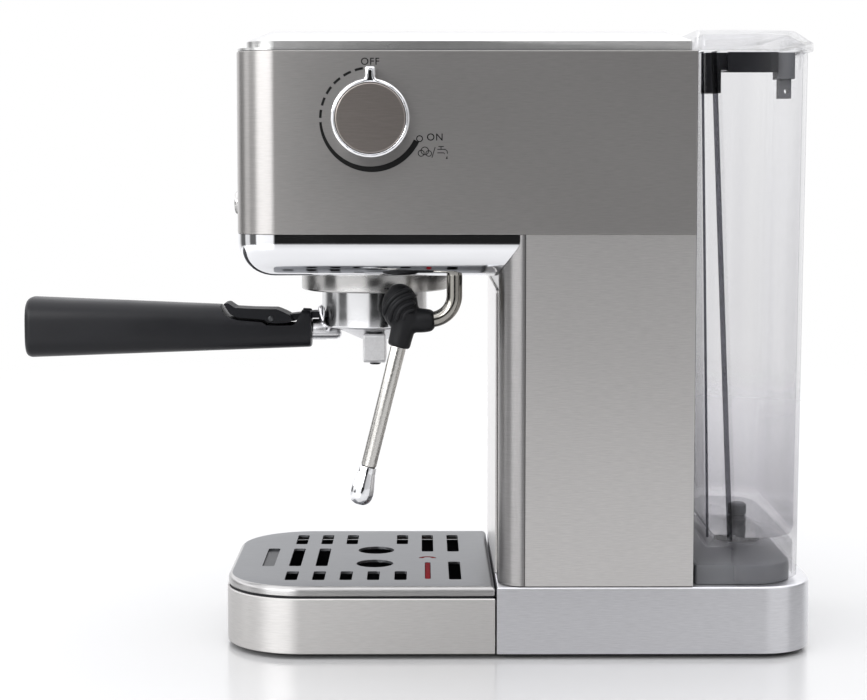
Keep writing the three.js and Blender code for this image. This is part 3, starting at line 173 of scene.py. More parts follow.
def swept(path, radii, sides=24, flat=1.0):
    """A closed tube along a path, with a radius for each point. flat is its width along Y over its height."""
    path = [Vector(p) for p in path]
    if not isinstance(radii, (list, tuple)):
        radii = [radii] * len(path)
    normal = Vector((0, 1, 0))
    points, faces = [], []
    for i, (p, r) in enumerate(zip(path, radii)):
        along = (path[min(i + 1, len(path) - 1)] - path[max(i - 1, 0)]).normalized()
        normal = (normal - along * normal.dot(along)).normalized()
        side = along.cross(normal)
        for c, s in circle(1, sides):
            points.append(tuple(p + normal * (c * r * flat) + side * (s * r)))
    for ring in range(len(path) - 1):
        for i in range(sides):
            a, b = ring * sides + i, ring * sides + (i + 1) % sides
            faces.append((a, b, b + sides, a + sides))
    last = (len(path) - 1) * sides
    faces += [tuple(reversed(range(sides))), tuple(range(last, last + sides))]
    return points, faces


def moved(shell, matrix):
    points, faces = shell
    return [tuple(matrix @ Vector(p)) for p in points], faces


def at(x, y, z):
    return Matrix.Translation((x, y, z))


ALONG_X = Matrix.Rotation(math.pi / 2, 4, "Y")  # turns +Z to +X
FACING_NEAR = Matrix.Rotation(math.pi / 2, 4, "X")  # turns +Z to -Y and +Y to +Z


def slab_y(outline, y0, y1):
    """An [x, z] outline carried along Y."""
    return moved(prism(outline, -y1, -y0), FACING_NEAR)


def upright(x=0):
    """Turns outlines drawn as [y, z] to their place, and their heights to distances from x."""
    return Matrix(((0, 0, 1, x), (1, 0, 0, 0), (0, 1, 0, 0), (0, 0, 0, 1)))


def block(x, y, z, corner=0.0):
    """A box between the two limits of each axis, with the given radius at its upright edges."""
    return prism(rounded(*x, *y, (corner,) * 4, 5), *z)


# ---------------------------------------------------------------- objects

def build(name, *shells):
    """One mesh object from shells in millimetres."""
    bm = bmesh.new()
    for points, faces in shells:
        verts = [bm.verts.new((Vector(p) + OFFSET) * 0.001) for p in points]
        for face in faces:
            bm.faces.new([verts[i] for i in face])
    bmesh.ops.recalc_face_normals(bm, faces=bm.faces)
    data = bpy.data.meshes.new(name)
    bm.to_mesh(data)
    bm.free()
    return add(name, data)


def add(name, data):
    """An object in the scene for a mesh, a curve or a camera."""
    obj = bpy.data.objects.new(name, data)
    bpy.context.collection.objects.link(obj)
    return obj


def settle(obj):
    """Applies the object's modifiers."""
    graph = bpy.context.evaluated_depsgraph_get()
    data = bpy.data.meshes.new_from_object(obj.evaluated_get(graph))
    obj.modifiers.clear()
    obj.data = data


def combine(obj, *shells, operation="DIFFERENCE"):
    """Cuts shells out of an object, or joins them to it."""
    tools = [build("tool", shell) for shell in shells]
    for tool in tools:
        step = obj.modifiers.new("step", "BOOLEAN")
        step.operation, step.object, step.solver = operation, tool, "EXACT"
    settle(obj)
    for tool in tools:
        bpy.data.objects.remove(tool)
    return obj


def bevel(obj, width):
    """Rounds the sharp edges. The width is in millimetres."""
    step = obj.modifiers.new("edges", "BEVEL")
    step.width, step.segments = width * 0.001, 2
    step.limit_method, step.angle_limit = "ANGLE", math.radians(38)
    step.harden_normals = True


def dress(obj, material, smooth=32):
    """One material, and smooth shading across edges that turn by less than smooth degrees."""
    obj.data.materials.clear()
    obj.data.materials.append(material)
    obj.data.shade_smooth()
    obj.data.set_sharp_from_angle(angle=math.radians(smooth))


def paint(obj, choice, *materials):
    """Gives more materials to some faces. choice takes a face and its middle in millimetres, and says
    0 for the object's own material, 1 for the first of these, and so on."""
    for material in materials:
        obj.data.materials.append(material)
    for face in obj.data.polygons:
        face.material_index = int(choice(face, face.center * 1000 - OFFSET))


def stand_for(obj, node, material, smooth=32, edges=0.0):
    """Gives a finished object the place of a CAD node. edges is the width of its bevels."""
    dress(obj, material, smooth)
    if edges:
        bevel(obj, edges)
    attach(obj, BODY_OF[node])
    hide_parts(node)


def detail(obj, body, slot, material):
    """An extra piece, such as printing, that stands for no CAD node."""
    dress(obj, material)
    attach(obj, body)


# ---------------------------------------------------------------- materials

class Tree:
    """The nodes of a material or of the world."""

    def __init__(self, owner):
        owner.use_nodes = True
        self.nodes, self.links = owner.node_tree.nodes, owner.node_tree.links

    def feed(self, socket, value):
        """Links a node's output to a socket, or sets the socket to a constant."""
        if isinstance(value, bpy.types.NodeSocket):
            self.links.new(value, socket)
        else:
            socket.default_value = value

    def math(self, operation, *values):
        made = self.nodes.new("ShaderNodeMath")
        made.operation = operation
        for socket, value in zip(made.inputs, values):
            self.feed(socket, value)
        return made.outputs[0]

    def ramp(self, value, *stops):
        """Colors by [position, color] stops."""
        made = self.nodes.new("ShaderNodeValToRGB")
        elements = made.color_ramp.elements
        while len(elements) < len(stops):
            elements.new(0.5)
        for element, (position, color) in zip(elements, stops):
            element.position, element.color = position, (*color, 1)
        self.links.new(value, made.inputs["Fac"])
        return made.outputs["Color"]

    def blend(self, factor, low, high, how="MIX"):
        """One color over another, with factor as the share of high."""
        made = self.nodes.new("ShaderNodeMix")
        made.data_type, made.blend_type = "RGBA", how
        for name, value in (("Factor", factor), ("A", low), ("B", high)):
            self.feed(made.inputs[name], value)
        return made.outputs["Result"]

    def between(self, factor, low, high):
        """One shader over another, with factor as the share of high."""
        made = self.nodes.new("ShaderNodeMixShader")
        for socket, value in zip(made.inputs, (factor, low, high)):
            self.links.new(value, socket)
        return made.outputs[0]


class Surface(Tree):
    """A material with one Principled shader, and the noise that feeds it."""

    def __init__(self, name, **sockets):
        self.material = bpy.data.materials.new(name)
        super().__init__(self.material)
        self.shader = self.nodes["Principled BSDF"]
        for socket, value in sockets.items():
            self.shader.inputs[socket.replace("_", " ")].default_value = value
        self.place = self.nodes.new("ShaderNodeTexCoord").outputs["Object"]

    def noise(self, scale, detail=3.0, rough=0.55):
        """Noise over the object's own place, with its own number of cells per metre along each axis."""
        stretch = self.nodes.new("ShaderNodeVectorMath")
        stretch.operation = "MULTIPLY"
        stretch.inputs[1].default_value = scale
        self.links.new(self.place, stretch.inputs[0])
        made = self.nodes.new("ShaderNodeTexNoise")
        made.inputs["Scale"].default_value = 1.0
        made.inputs["Detail"].default_value = detail
        made.inputs["Roughness"].default_value = rough
        self.links.new(stretch.outputs[0], made.inputs["Vector"])
        return made.outputs["Fac"]

    def ranged(self, value, low, high, source=(0.3, 0.7)):
        made = self.nodes.new("ShaderNodeMapRange")
        made.inputs["From Min"].default_value, made.inputs["From Max"].default_value = source
        made.inputs["To Min"].default_value, made.inputs["To Max"].default_value = low, high
        self.links.new(value, made.inputs["Value"])
        return made.outputs["Result"]

    def color(self, value, dark, light):
        self.links.new(self.ramp(value, (0.3, dark), (0.7, light)), self.shader.inputs["Base Color"])

    def roughness(self, value, low, high):
        self.links.new(self.ranged(value, low, high), self.shader.inputs["Roughness"])

    def bump(self, value, strength, distance):
        made = self.nodes.new("ShaderNodeBump")
        made.inputs["Strength"].default_value = strength
        made.inputs["Distance"].default_value = distance
        self.links.new(value, made.inputs["Height"])
        self.links.new(made.outputs["Normal"], self.shader.inputs["Normal"])

    def tangent(self, axis):
        made = self.nodes.new("ShaderNodeTangent")
        made.direction_type, made.axis = "RADIAL", axis
        self.links.new(made.outputs["Tangent"], self.shader.inputs["Tangent"])


def scaled(color, by):
    return tuple(c * by for c in color)


def brushed(name, color, grain, roughness=0.295, contrast=0.07, along="Z", stretch=0.75):
    """Steel sheet with grain lines. grain is the number of cells per metre along each axis.

    The denoiser draws contour lines where roughness crosses 0.274, so its whole range stays to one side.
    """
    made = Surface(name, Metallic=1.0, Anisotropic=stretch, Anisotropic_Rotation=0.25)
    made.tangent(along)
    fine = made.noise(grain, 3.0, 0.6)
    cloud = made.noise((9, 9, 9), 1.0)
    made.color(fine, scaled(color, 1 - contrast), scaled(color, 1 + contrast))
    cloudy = made.ranged(cloud, roughness - 0.018, roughness + 0.018, (0, 1))
    made.links.new(cloudy, made.shader.inputs["Roughness"])
    made.bump(fine, 0.05, 0.0001)
    return made.material


def turned_steel(name, color, roughness):
    """Steel with a faint cross-hatched finish."""
    made = Surface(name, Metallic=1.0)
    cloud = made.noise((900, 900, 900), 4.0)
    made.color(cloud, scaled(color, 0.93), scaled(color, 1.05))
    made.roughness(cloud, roughness - 0.04, roughness + 0.05)
    made.bump(cloud, 0.05, 0.0001)
    return made.material


def polished(name, color, roughness):
    """Plated or polished metal with faint smears."""
    made = Surface(name, Metallic=1.0)
    smear = made.noise((40, 40, 120), 3.0)
    made.color(smear, scaled(color, 0.97), color)
    made.roughness(smear, roughness * 0.6, roughness * 1.5)
    return made.material


def moulded(name, color, roughness, grain=2500, bump=0.12, gloss=0.5):
    """Moulded plastic or rubber with a fine surface texture."""
    made = Surface(name, IOR=1.5, Specular_IOR_Level=gloss)
    fine = made.noise((grain, grain, grain), 2.0)
    broad = made.noise((35, 35, 35), 3.0)
    made.color(broad, color, scaled(color, 1.25))
    made.roughness(broad, roughness - 0.04, roughness + 0.06)
    made.bump(fine, bump, 0.00015)
    return made.material


def clear(name, low, high, edge):
    """Clear moulded plastic: see-through face on, with painted shade that darkens its edges, and the gloss of
    its skin.

    low and high are its tints at the bottom and the top of the tank, a painted shade that darkens it towards
    the bottom, and edge is its painted shade seen edge-on.
    """
    made = Surface(name)
    nodes, links = made.nodes, made.links
    nodes.remove(made.shader)
    split = nodes.new("ShaderNodeSeparateXYZ")
    links.new(made.place, split.inputs[0])
    # painted shade: the see-through tint darkens towards the bottom of the tank
    level = made.ranged(split.outputs["Z"], 0, 1, (0.04, 0.3))
    middle = tuple((3 * a + b) / 4 for a, b in zip(high, low))
    body = made.ramp(level, (0.06, middle), (0.1, low), (0.4, middle), (1, high))
    streaks = made.ramp(made.noise((60, 60, 2.5), 2.0), (0.3, (0.965, 0.965, 0.97)), (0.7, (1, 1, 1)))
    body = made.blend(1.0, body, streaks, "MULTIPLY")
    rim = nodes.new("ShaderNodeLayerWeight")
    rim.inputs["Blend"].default_value = 0.5
    facing = rim.outputs["Facing"]
    # painted shade: the tint darkens where the plastic is seen edge-on
    shaded_tint = made.blend(made.ranged(facing, 0, 1, (0.86, 0.97)), body, (*edge, 1))
    through = nodes.new("ShaderNodeBsdfTransparent")
    links.new(shaded_tint, through.inputs["Color"])
    skin = nodes.new("ShaderNodeBsdfGlossy")
    skin.inputs["Roughness"].default_value = 0.04
    gloss = made.ranged(made.math("POWER", facing, 4.5), 0.035, 0.7, (0, 1))
    plastic = made.between(gloss, through.outputs[0], skin.outputs[0])
    links.new(plastic, nodes["Material Output"].inputs["Surface"])
    return made.material


WALL_GRAIN = (150, 150, 2400)
TOP_GRAIN = (150, 2400, 150)
HEAD_STEEL = brushed("head_steel", (0.42, 0.408, 0.397), WALL_GRAIN)
# painted shade: a darker copy of the column's steel for the front sheet under the head
FRONT_SHADE_STEEL = brushed("front_shade_steel", (0.235, 0.23, 0.228), WALL_GRAIN)
COLUMN_STEEL = brushed("column_steel", (0.69, 0.674, 0.658), WALL_GRAIN)
BASE_STEEL = brushed("base_steel", (0.66, 0.66, 0.68), WALL_GRAIN, 0.32)
BAND_STEEL = brushed("band_steel", (0.5, 0.49, 0.478), WALL_GRAIN, 0.42, stretch=0.4)
# painted shade: the grid's top and slot walls are a darker copy of the lip's steel
GRID_SHADE_STEEL = brushed("grid_shade_steel", (0.18, 0.184, 0.192), TOP_GRAIN, 0.32, 0.08, "Y")
LIP_STEEL = brushed("lip_steel", (0.4, 0.395, 0.39), WALL_GRAIN, 0.3)
# painted shade: a near-black copy of the grid's steel for the finger pull's recess; the clip pin also uses it
# as its own dark steel
PULL_SHADE_AND_PIN_STEEL = brushed("pull_shade_and_pin_steel", (0.07, 0.072, 0.075), TOP_GRAIN, 0.4, 0.08, "Y")
TOP_STEEL = brushed("top_steel", (0.74, 0.74, 0.73), TOP_GRAIN, 0.24, 0.05, "Y")
# painted shade: a darker copy of the top's steel for its upward faces
SHELF_SHADE_STEEL = brushed("shelf_shade_steel", (0.55, 0.55, 0.545), TOP_GRAIN, 0.24, 0.05, "Y")
CAP_STEEL = brushed("cap_steel", (0.3, 0.27, 0.25), WALL_GRAIN)
PLAIN_STEEL = turned_steel("plain_steel", (0.6, 0.587, 0.56), 0.25)
TUBE_STEEL = turned_steel("tube_steel", (0.33, 0.317, 0.29), 0.12)
CHROME = polished("chrome", (0.88, 0.885, 0.9), 0.045)
ALLOY = polished("alloy", (0.68, 0.683, 0.69), 0.13)
COLLAR = polished("collar_alloy", (0.52, 0.515, 0.505), 0.22)
SPOUT_ALLOY = turned_steel("spout_alloy", (0.66, 0.66, 0.665), 0.42)
BLACK = moulded("black", (0.005, 0.0053, 0.007), 0.39, gloss=0.3)
GREY = moulded("grey", (0.085, 0.087, 0.093), 0.46)
CLIP = moulded("clip_black", (0.006, 0.0063, 0.0078), 0.5, gloss=0.16)
RUBBER = moulded("rubber", (0.003, 0.0031, 0.0039), 0.45, 1600, 0.2, gloss=0.25)
SILICONE = moulded("silicone", (0.55, 0.52, 0.46), 0.5)
RED = moulded("red", (0.13, 0.0015, 0.005), 0.7, gloss=0.04)
BRASS = polished("brass", (0.62, 0.44, 0.2), 0.25)
BOARD = moulded("board", (0.02, 0.12, 0.05), 0.45)
LACQUER = moulded("lacquer", (0.06, 0.06, 0.065), 0.4)
# painted shade in the tank and the lid: darker towards the tank's bottom and where seen edge-on
TANK = clear("tank", (0.84, 0.835, 0.845), (0.995, 0.995, 0.997), (0.34, 0.35, 0.38))
# painted shade: a dark clear tint for the tank's sloping shoulders
TANK_EDGE_SHADE = clear("tank_edge_shade", (0.17, 0.17, 0.19), (0.13, 0.13, 0.15), (0.1, 0.1, 0.12))
LID = clear("lid", (0.99, 0.99, 0.992), (0.99, 0.99, 0.992), (0.95, 0.95, 0.96))
PRINT = moulded("print", (0.004, 0.004, 0.004), 0.6, gloss=0.15)
SATIN = turned_steel("satin_alloy", (0.7, 0.7, 0.71), 0.3)

BY_SLOT = {
    "brushed_steel": COLUMN_STEEL,
    "polished_chrome": CHROME,
    "cast_alloy": ALLOY,
    "black_plastic": BLACK,
    "grey_plastic": GREY,
    "clear_plastic": TANK,
    "black_rubber": RUBBER,
    "silicone": SILICONE,
    "red_plastic": RED,
    "brass": BRASS,
    "pump_metal": LACQUER,
    "circuit_board": BOARD,
}
for node, obj in frame["nodes"].items():
    dress(obj, BY_SLOT[SLOT_OF[node]])
for node in ("column_side_near", "column_side_far", "rear_panel", "splash_panel", "base_plate"):
    bevel(frame["nodes"][node], 0.25)
for node in ("filter_basket", "shower_screen", "shower_screw", "lid_hinge_pin"):
    dress(frame["nodes"][node], PLAIN_STEEL)


# ---------------------------------------------------------------- base and column

def base_shell():
    def outline(inset):
        return plan(BASE_FRONT, BASE_BACK, HALF_WIDTH, 0, 27, inset, 20)

    rim = rounded_over(outline, 1.3, 35.5)
    obj = build("base_shell_finish", loft([(outline(0.3), 2.5), (outline(0), 2.8), *rim]))
    combine(obj, prism(outline(2), -1, 34.8), block((42, 47.5), (-70, 70), (-1, 4.4)))
    stand_for(obj, "base_shell", BASE_STEEL)


def tank_platform():
    def outline(inset):
        return plan(143.4, 194.6, 69.4, 2, 20, inset, 16)

    obj = build("tank_platform_finish", loft([
        (outline(0), 37.1), (outline(0), 45), (outline(0.6), 46.4), (outline(2), 47)]))
    combine(obj, moved(rod(12.4, 30, 60, 48), at(VALVE_X, 0, 0)))
    stand_for(obj, "tank_platform", GREY)


def column_front():
    def outline(inset):
        return plan(COLUMN_FRONT, 70, HALF_WIDTH, 13, 0, inset, 18)

    obj = build("column_front_finish", prism(outline(0), 37.2, HOOD_TOP))
    combine(obj, prism(outline(STEEL), 0, 300), block((CORNER_END, 90), (-90, 90), (0, 300)),
            block((40, 60), (-61, 61), (205, 300)))
    # painted shade: the front sheet under the head is a darker copy of the column's steel
    stand_for(obj, "column_front", FRONT_SHADE_STEEL)


# ---------------------------------------------------------------- head

def head_wrap():
    outside = plan(HEAD_FRONT, COLUMN_BACK, HALF_WIDTH, HEAD_CORNER, 0, 0, 20)
    inside = plan(HEAD_FRONT + STEEL, 160, HALF_WIDTH - STEEL, HEAD_CORNER - STEEL, 0, 0, 20)
    obj = build("head_wrap_finish", prism(outside, HOOD_TOP + 0.12, HEAD_TOP))
    holes = [moved(rod(6.3, -5, 5, 40), at(HEAD_FRONT, y, BUTTON_Z) @ ALONG_X) for y in BUTTON_YS]
    stem = moved(rod(5, -5, 5, 32), at(*KNOB) @ FACING_NEAR)
    combine(obj, prism(inside, 0, 400), *holes, stem)
    stand_for(obj, "head_wrap", HEAD_STEEL, edges=0.65)


def hood_levels(inset, bottom, steps, top):
    """Loft levels from the hood's flat underside, round its fillet and up to the height top."""
    fillet = HOOD_FILLET - inset
    levels = []
    for i in range(steps + 1):
        a = i / steps * math.pi / 2
        total = inset + fillet * (1 - math.sin(a))
        corner = max(HEAD_CORNER - total, 1.2)
        half = HALF_WIDTH - total
        outline = rounded(HEAD_FRONT + total, CORNER_END, -half, half, (corner, 0, 0, corner), 16)
        levels.append((outline, bottom + fillet * (1 - math.cos(a))))
    return [*levels, (levels[-1][0], top)]


def head_hood():
    obj = build("head_hood_finish", loft(hood_levels(0, HOOD_BOTTOM, 20, HOOD_TOP)))
    column = prism(plan(COLUMN_FRONT - 0.3, 90, HALF_WIDTH + 0.3, 13.3, 0, 0, 18), 150, 250)
    group = moved(rod(37.5, 180, 230, 72), at(GROUP_X, 0, 0))
    wand = moved(rod(5, 180, 230, 32), at(WAND_X, KNUCKLE.y, 0))
    combine(obj, loft(hood_levels(2.4, HOOD_BOTTOM + 2.4, 8, HOOD_TOP + 2)), column, group, wand)
    stand_for(obj, "head_hood", CHROME, smooth=28)


def top_cover():
    def outline(inset):
        return plan(HEAD_FRONT + 5.5, 139.3, HALF_WIDTH - 0.8, 15, 1, inset, 14)

    flange = prism(plan(HEAD_FRONT, 139.3, HALF_WIDTH, HEAD_CORNER, 1, 0.6, 20), 305.3, 306.5)
    body = loft([(outline(0), 305.3), (outline(0), 309.6), (outline(0.5), 310.2),
                 (outline(11.6), 314.7), (outline(12.8), 315)])
    obj = combine(build("top_cover_finish", body), flange, operation="UNION")
    combine(obj, prism(outline(15), 313.4, 330), loft([
        (outline(1.6), 300), (outline(1.6), 309.2), (outline(12), 311.8)]))
    ribs = [prism(rounded(-40, 98, y - 2, y + 2, (2,) * 4, 6), 312.4, 314.2) for y in (-40, -20, 0, 20, 40)]
    combine(obj, *ribs, operation="UNION")
    stand_for(obj, "top_cover", TOP_STEEL, edges=0.15)
    # painted shade: the upward faces get a darker copy of the same steel
    paint(obj, lambda face, middle: face.normal.z > 0.5, SHELF_SHADE_STEEL)


def buttons():
    profile = soften([
        (0, 0), (5.2, 0), (6, 0.9), (6, 5.4), (7.5, 5.4), (7.5, 6.6), (2.5, 6.6), (2.5, 9.6), (0, 9.6)],
        0.4, closed=False)
    for name in ("button_1", "button_2", "button_3"):
        low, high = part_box(name)
        y = (low.y + high.y) / 2 * 1000 - OFFSET.y
        shell = moved(turned(profile, 48, False), at(HEAD_FRONT - 3.4, y, BUTTON_Z) @ ALONG_X)
        stand_for(build(name + "_finish", shell), name, COLLAR)


# ---------------------------------------------------------------- steam knob and its printing

def knob_outline(inset):
    """The knob's outline with its pointer upwards, drawn inwards by inset."""
    radius, half, top, fillet = 19.25 - inset, 2.45 - inset, 25 - inset, 1.5 + inset
    reach = math.sqrt((radius + fillet) ** 2 - (half + fillet) ** 2)
    lean = math.asin((half + fillet) / (radius + fillet))
    points = circle(radius, 90, (0, 0), math.pi / 2 + lean, 2.5 * math.pi - lean)
    points += circle(fillet, 6, (half + fillet, reach), 1.5 * math.pi - lean, math.pi)
    points += circle(0.8, 4, (half - 0.8, top - 0.8), 0, math.pi / 2)
    points += circle(0.8, 4, (0.8 - half, top - 0.8), math.pi / 2, math.pi)
    points += circle(fillet, 6, (-half - fillet, reach), 0, lean - math.pi / 2)
    return points


def knob():
    place = at(*KNOB) @ FACING_NEAR
    body = build("knob_body_finish", moved(loft([
        (knob_outline(0.7), 0.5), (knob_outline(0), 1.2), (knob_outline(0), 14.2),
        (knob_outline(0.25), 14.9), (knob_outline(0.75), 15.2)]), place))
    groove = loft([(knob_outline(1.6), 13.9), (knob_outline(1.15), 16)])
    well = rod(17.4, 13, 18, 96)
    bore = rod(3.4, -2, 14, 32)
    combine(body, moved(groove, place))
    bead = turned(soften([(17.3, 12), (18.15, 12), (18.15, 14.7), (17.75, 15.2), (17.3, 14.9)], 0.2), 96)
    combine(body, moved(bead, place), operation="UNION")
    combine(body, moved(well, place), moved(bore, place))
    stand_for(body, "knob_body", CHROME, edges=0.12)
    cap = turned([(0, 13.3), (17.1, 13.3), (17.1, 15.2), (16.95, 15.5), (16.6, 15.65), (0, 15.75)], 96, False)
    stand_for(build("knob_cap_finish", moved(cap, place)), "knob_cap", CAP_STEEL, smooth=20)


PRINT_FACE = -HALF_WIDTH - 0.06


def strip(points, widths):
    """A flat printed line on the near side of the head, through [x, z] points."""
    left, right = [], []
    for i, (point, width) in enumerate(zip(points, widths)):
        before, after = Vector(points[max(i - 1, 0)]), Vector(points[min(i + 1, len(points) - 1)])
        along = (after - before).normalized()
        across = Vector((-along.y, along.x)) * width / 2
        left.append(tuple(Vector(point) + across))
        right.append(tuple(Vector(point) - across))
    return slab_y(left + right[::-1], PRINT_FACE, -HALF_WIDTH + 0.02)


def arc(start, end, steps):
    """Points of the scale round the knob, between two angles in degrees."""
    return circle(25, steps, (KNOB.x, KNOB.z), math.radians(start), math.radians(end))


def ring_print(x, z, radius, width, steps=28):
    outer, inner = circle(radius, steps, (x, z)), circle(radius - width, steps, (x, z))
    points = [(a, PRINT_FACE, b) for a, b in outer + inner]
    faces = [(i, (i + 1) % steps, steps + (i + 1) % steps, steps + i) for i in range(steps)]
    return points, faces


def lettering(word, x, z, size):
    """A generic word in the built-in font, as a thin solid on the head's near side."""
    curve = bpy.data.curves.new(word, "FONT")
    curve.body, curve.size, curve.align_x, curve.align_y = word, size * 0.00138, "CENTER", "CENTER"
    curve.extrude = 0.00003
    curve.space_character = 1.12
    curve.offset = 0.00003
    text = add("text", curve)
    text.matrix_world = at(*(Vector((x, -HALF_WIDTH - 0.03, z)) + OFFSET) * 0.001) @ FACING_NEAR
    bpy.context.view_layer.update()
    data = bpy.data.meshes.new_from_object(text)
    data.transform(text.matrix_world)
    bpy.data.objects.remove(text)
    detail(add("print_" + word.lower(), data), "housing", "black_plastic", PRINT)


def printing():
    dashes = [strip(arc(99 + i * 14.2, 99 + i * 14.2 + 9.4, 5), [1.25] * 6) for i in range(6)]
    steps = 60
    line = strip(arc(184, 334, steps), [1.2 + 1.7 * min(1, 1.6 * i / steps) for i in range(steps + 1)])
    scale = build("print_scale", *dashes, line, ring_print(4.6, 261.6, 1.7, 0.5))
    detail(scale, "housing", "black_plastic", PRINT)
    lettering("OFF", KNOB.x - 0.4, 299.4, 3.6)
    lettering("ON", 12.2, 262.2, 3.6)
    # steam cloud, slash, and a tap with its drop
    puffs = [circle(r, 14, (x, z)) for x, z, r in ((5.4, 254.4, 1.5), (7.2, 255.6, 1.9), (9.1, 254.3, 1.4))]
    cloud = [points + points[:2] for points in puffs]
    slash = [(10.7, 252.2), (12.3, 257.4)]
    tap = [[(13.4, 256.3), (17.2, 256.3), (18.2, 255.6), (18.4, 254.2)],
           [(13.4, 254.6), (16.6, 254.6), (17, 254)],
           [(15.2, 256.3), (15.2, 257.6)],
           [(13.9, 257.7), (16.6, 257.7)]]
    shells = [strip(points, [0.4] * len(points)) for points in (*cloud, slash, *tap)]
    shells.append(strip([(18.2, 252.9), (18, 251.6)], [0.3, 0.9]))
    detail(build("print_symbols", *shells), "housing", "black_plastic", PRINT)


# ---------------------------------------------------------------- brew group and portafilter

GROUP = at(GROUP_X, 0, 0)


def ring_sector(inner, outer, degrees, spread, z0, z1):
    """Part of a ring, spread degrees wide round the angle degrees."""
    a, b = math.radians(degrees - spread / 2), math.radians(degrees + spread / 2)
    return prism(circle(outer, 8, (0, 0), a, b) + circle(inner, 8, (0, 0), a, b)[::-1], z0, z1)


def group_collar():
    profile = soften([
        (5, 193.5), (34.6, 193.5), (34.6, 184.3), (31.2, 184.3), (31.2, 182.3), (38.4, 182.3), (39.1, 183),
        (39.1, 192.4), (37.2, 192.4), (37.2, 202), (5, 202)], 0.3)
    obj = build("group_collar_finish", moved(turned(profile, 96), GROUP))
    combine(obj, *[moved(ring_sector(29, 34.4, a, 36, 181, 184.8), GROUP) for a in (15, 135, 255)])
    stand_for(obj, "group_collar", COLLAR)


def portafilter_body():
    cup = turned(soften([
        (4, 155), (6.5, 155), (22.5, 162.2), (27.4, 162.5), (28.2, 163.4), (28.2, 187.2), (26.4, 187.2),
        (26.4, 164.6), (4, 160.5)], 0.6, 4), 96)
    ears = [ring_sector(27.2, 34, a, 28, 184.8, 186.9) for a in (60, 180, 300)]
    end = NECK_END - GROUP_X
    neck_place = at(0, 0, NECK_Z) @ ALONG_X
    neck_profile = soften([(0, end + 0.3), (5.1, end + 0.3), (5.6, end + 0.9), (5.6, -26), (0, -26)],
                          0.3, closed=False)
    neck = moved(turned(neck_profile, 48, False), neck_place)
    tang = moved(rod(4, end - 24, end + 1, 24), neck_place)
    # the rounded bar below the neck, and the cast rib that rises in front of the cup
    bar = swept([(end + 0.6, 0, 158.6), (-20.6, 0, 158.6), (-19, 0, 158.7), (-18.1, 0, 158.9)],
                [3.4, 3.4, 2.7, 1.1], 28, 1.7)
    rib_line = [(-28.2, 173.2), (-29.0, 172.2), (-29.2, 169.6),
                (-28.2, 166.2), (-26.2, 163.4), (-23.6, 161.2)]
    rib = swept([(x, 0, z) for x, z in rib_line], [0.9, 1.5, 1.75, 1.8, 1.9, 2.0], 20, 3.4)
    shells = [moved(shell, GROUP) for shell in (cup, *ears, neck, tang, bar, rib)]
    obj = build("portafilter_body_finish", *shells)
    stand_for(obj, "portafilter_body", ALLOY, smooth=36)
    # the neck and the cup's sloping floor are satin
    paint(obj, lambda face, middle: middle.x < GROUP_X - 27.4 or middle.z < 162.2, SATIN)


def spout():
    half = [(6.5, 154.7), (18.3, 159.8), (19.5, 158.6), (19.5, 145.1),
            (11, 143.5), (9.5, 147.5), (4.4, 147.5), (4.4, 143.5)]
    outline = soften(half + [(-y, z) for y, z in half[::-1]], 0.9, 4)
    obj = build("spout_finish", moved(prism(outline, -5.9, 5.9), GROUP @ upright()))
    combine(obj, *[moved(rod(2.2, 142.5, 152.5, 24), GROUP @ at(0, y, 0)) for y in (-15, 15)])
    stand_for(obj, "spout", SPOUT_ALLOY, edges=0.7)
    nut = soften([(0, 141.6), (2.5, 141.6), (3, 142.2), (3, 143.2), (0, 143.2)], 0.3, closed=False)
    nut = moved(turned(nut, 32, False), GROUP)
    stand_for(build("spout_nut_finish", nut), "spout_nut", BLACK)


HANDLE_LENGTH = NECK_END - HANDLE_END


def handle_section(run, shrink):
    """The handle's [y, z] outline at a distance from its free end, between an oval and a box."""
    share = run / HANDLE_LENGTH
    half = 14.5 - 4.5 * share - shrink
    low = 145.7 + 5.5 * share + shrink * 0.7
    high = 178.2 - 6.2 * share - shrink
    middle, tall = (low + high) / 2, (high - low) / 2
    squareness = 0.62
    points = []
    for c, s in circle(1, 56):
        across = math.copysign(abs(c) ** squareness, c)
        up = math.copysign(abs(s) ** squareness, s)
        points.append((half * across, middle + tall * up))
    return points


def handle():
    turns = [math.radians(d) for d in range(0, 91, 15)]
    end = [(3.6 * (1 - math.cos(a)), 3.6 * (1 - math.sin(a))) for a in turns]
    stations = [(0, 6.5), *end, (HANDLE_LENGTH * 0.5, 0), (HANDLE_LENGTH - 1.2, 0),
                (HANDLE_LENGTH - 0.4, 0.25), (HANDLE_LENGTH, 0.9)]
    grip = loft([(handle_section(run, shrink), run) for run, shrink in stations])
    obj = build("handle_finish", moved(grip, upright(HANDLE_END)))
    bed = soften([(-103.2, 182), (-101.6, 173), (-98.4, 168.2), (-92, 166), (-79, 165),
                  (-77, 163.2), (-62.4, 163.2), (-60.4, 166.6), (-58, 171.2), (-57.6, 182)], 1.6, 4)
    combine(obj, slab_y(bed, -20, 20))
    combine(obj, block((-98, -68), (-2.8, 2.8), (160, 167.6)), operation="UNION")
    combine(obj, block((-64, -50), (-6.4, 6.4), (166.2, 182)),
            moved(rod(4.5, -78, -50, 32), at(0, 0, NECK_Z) @ ALONG_X))
    stand_for(obj, "handle", BLACK, smooth=40, edges=0.5)


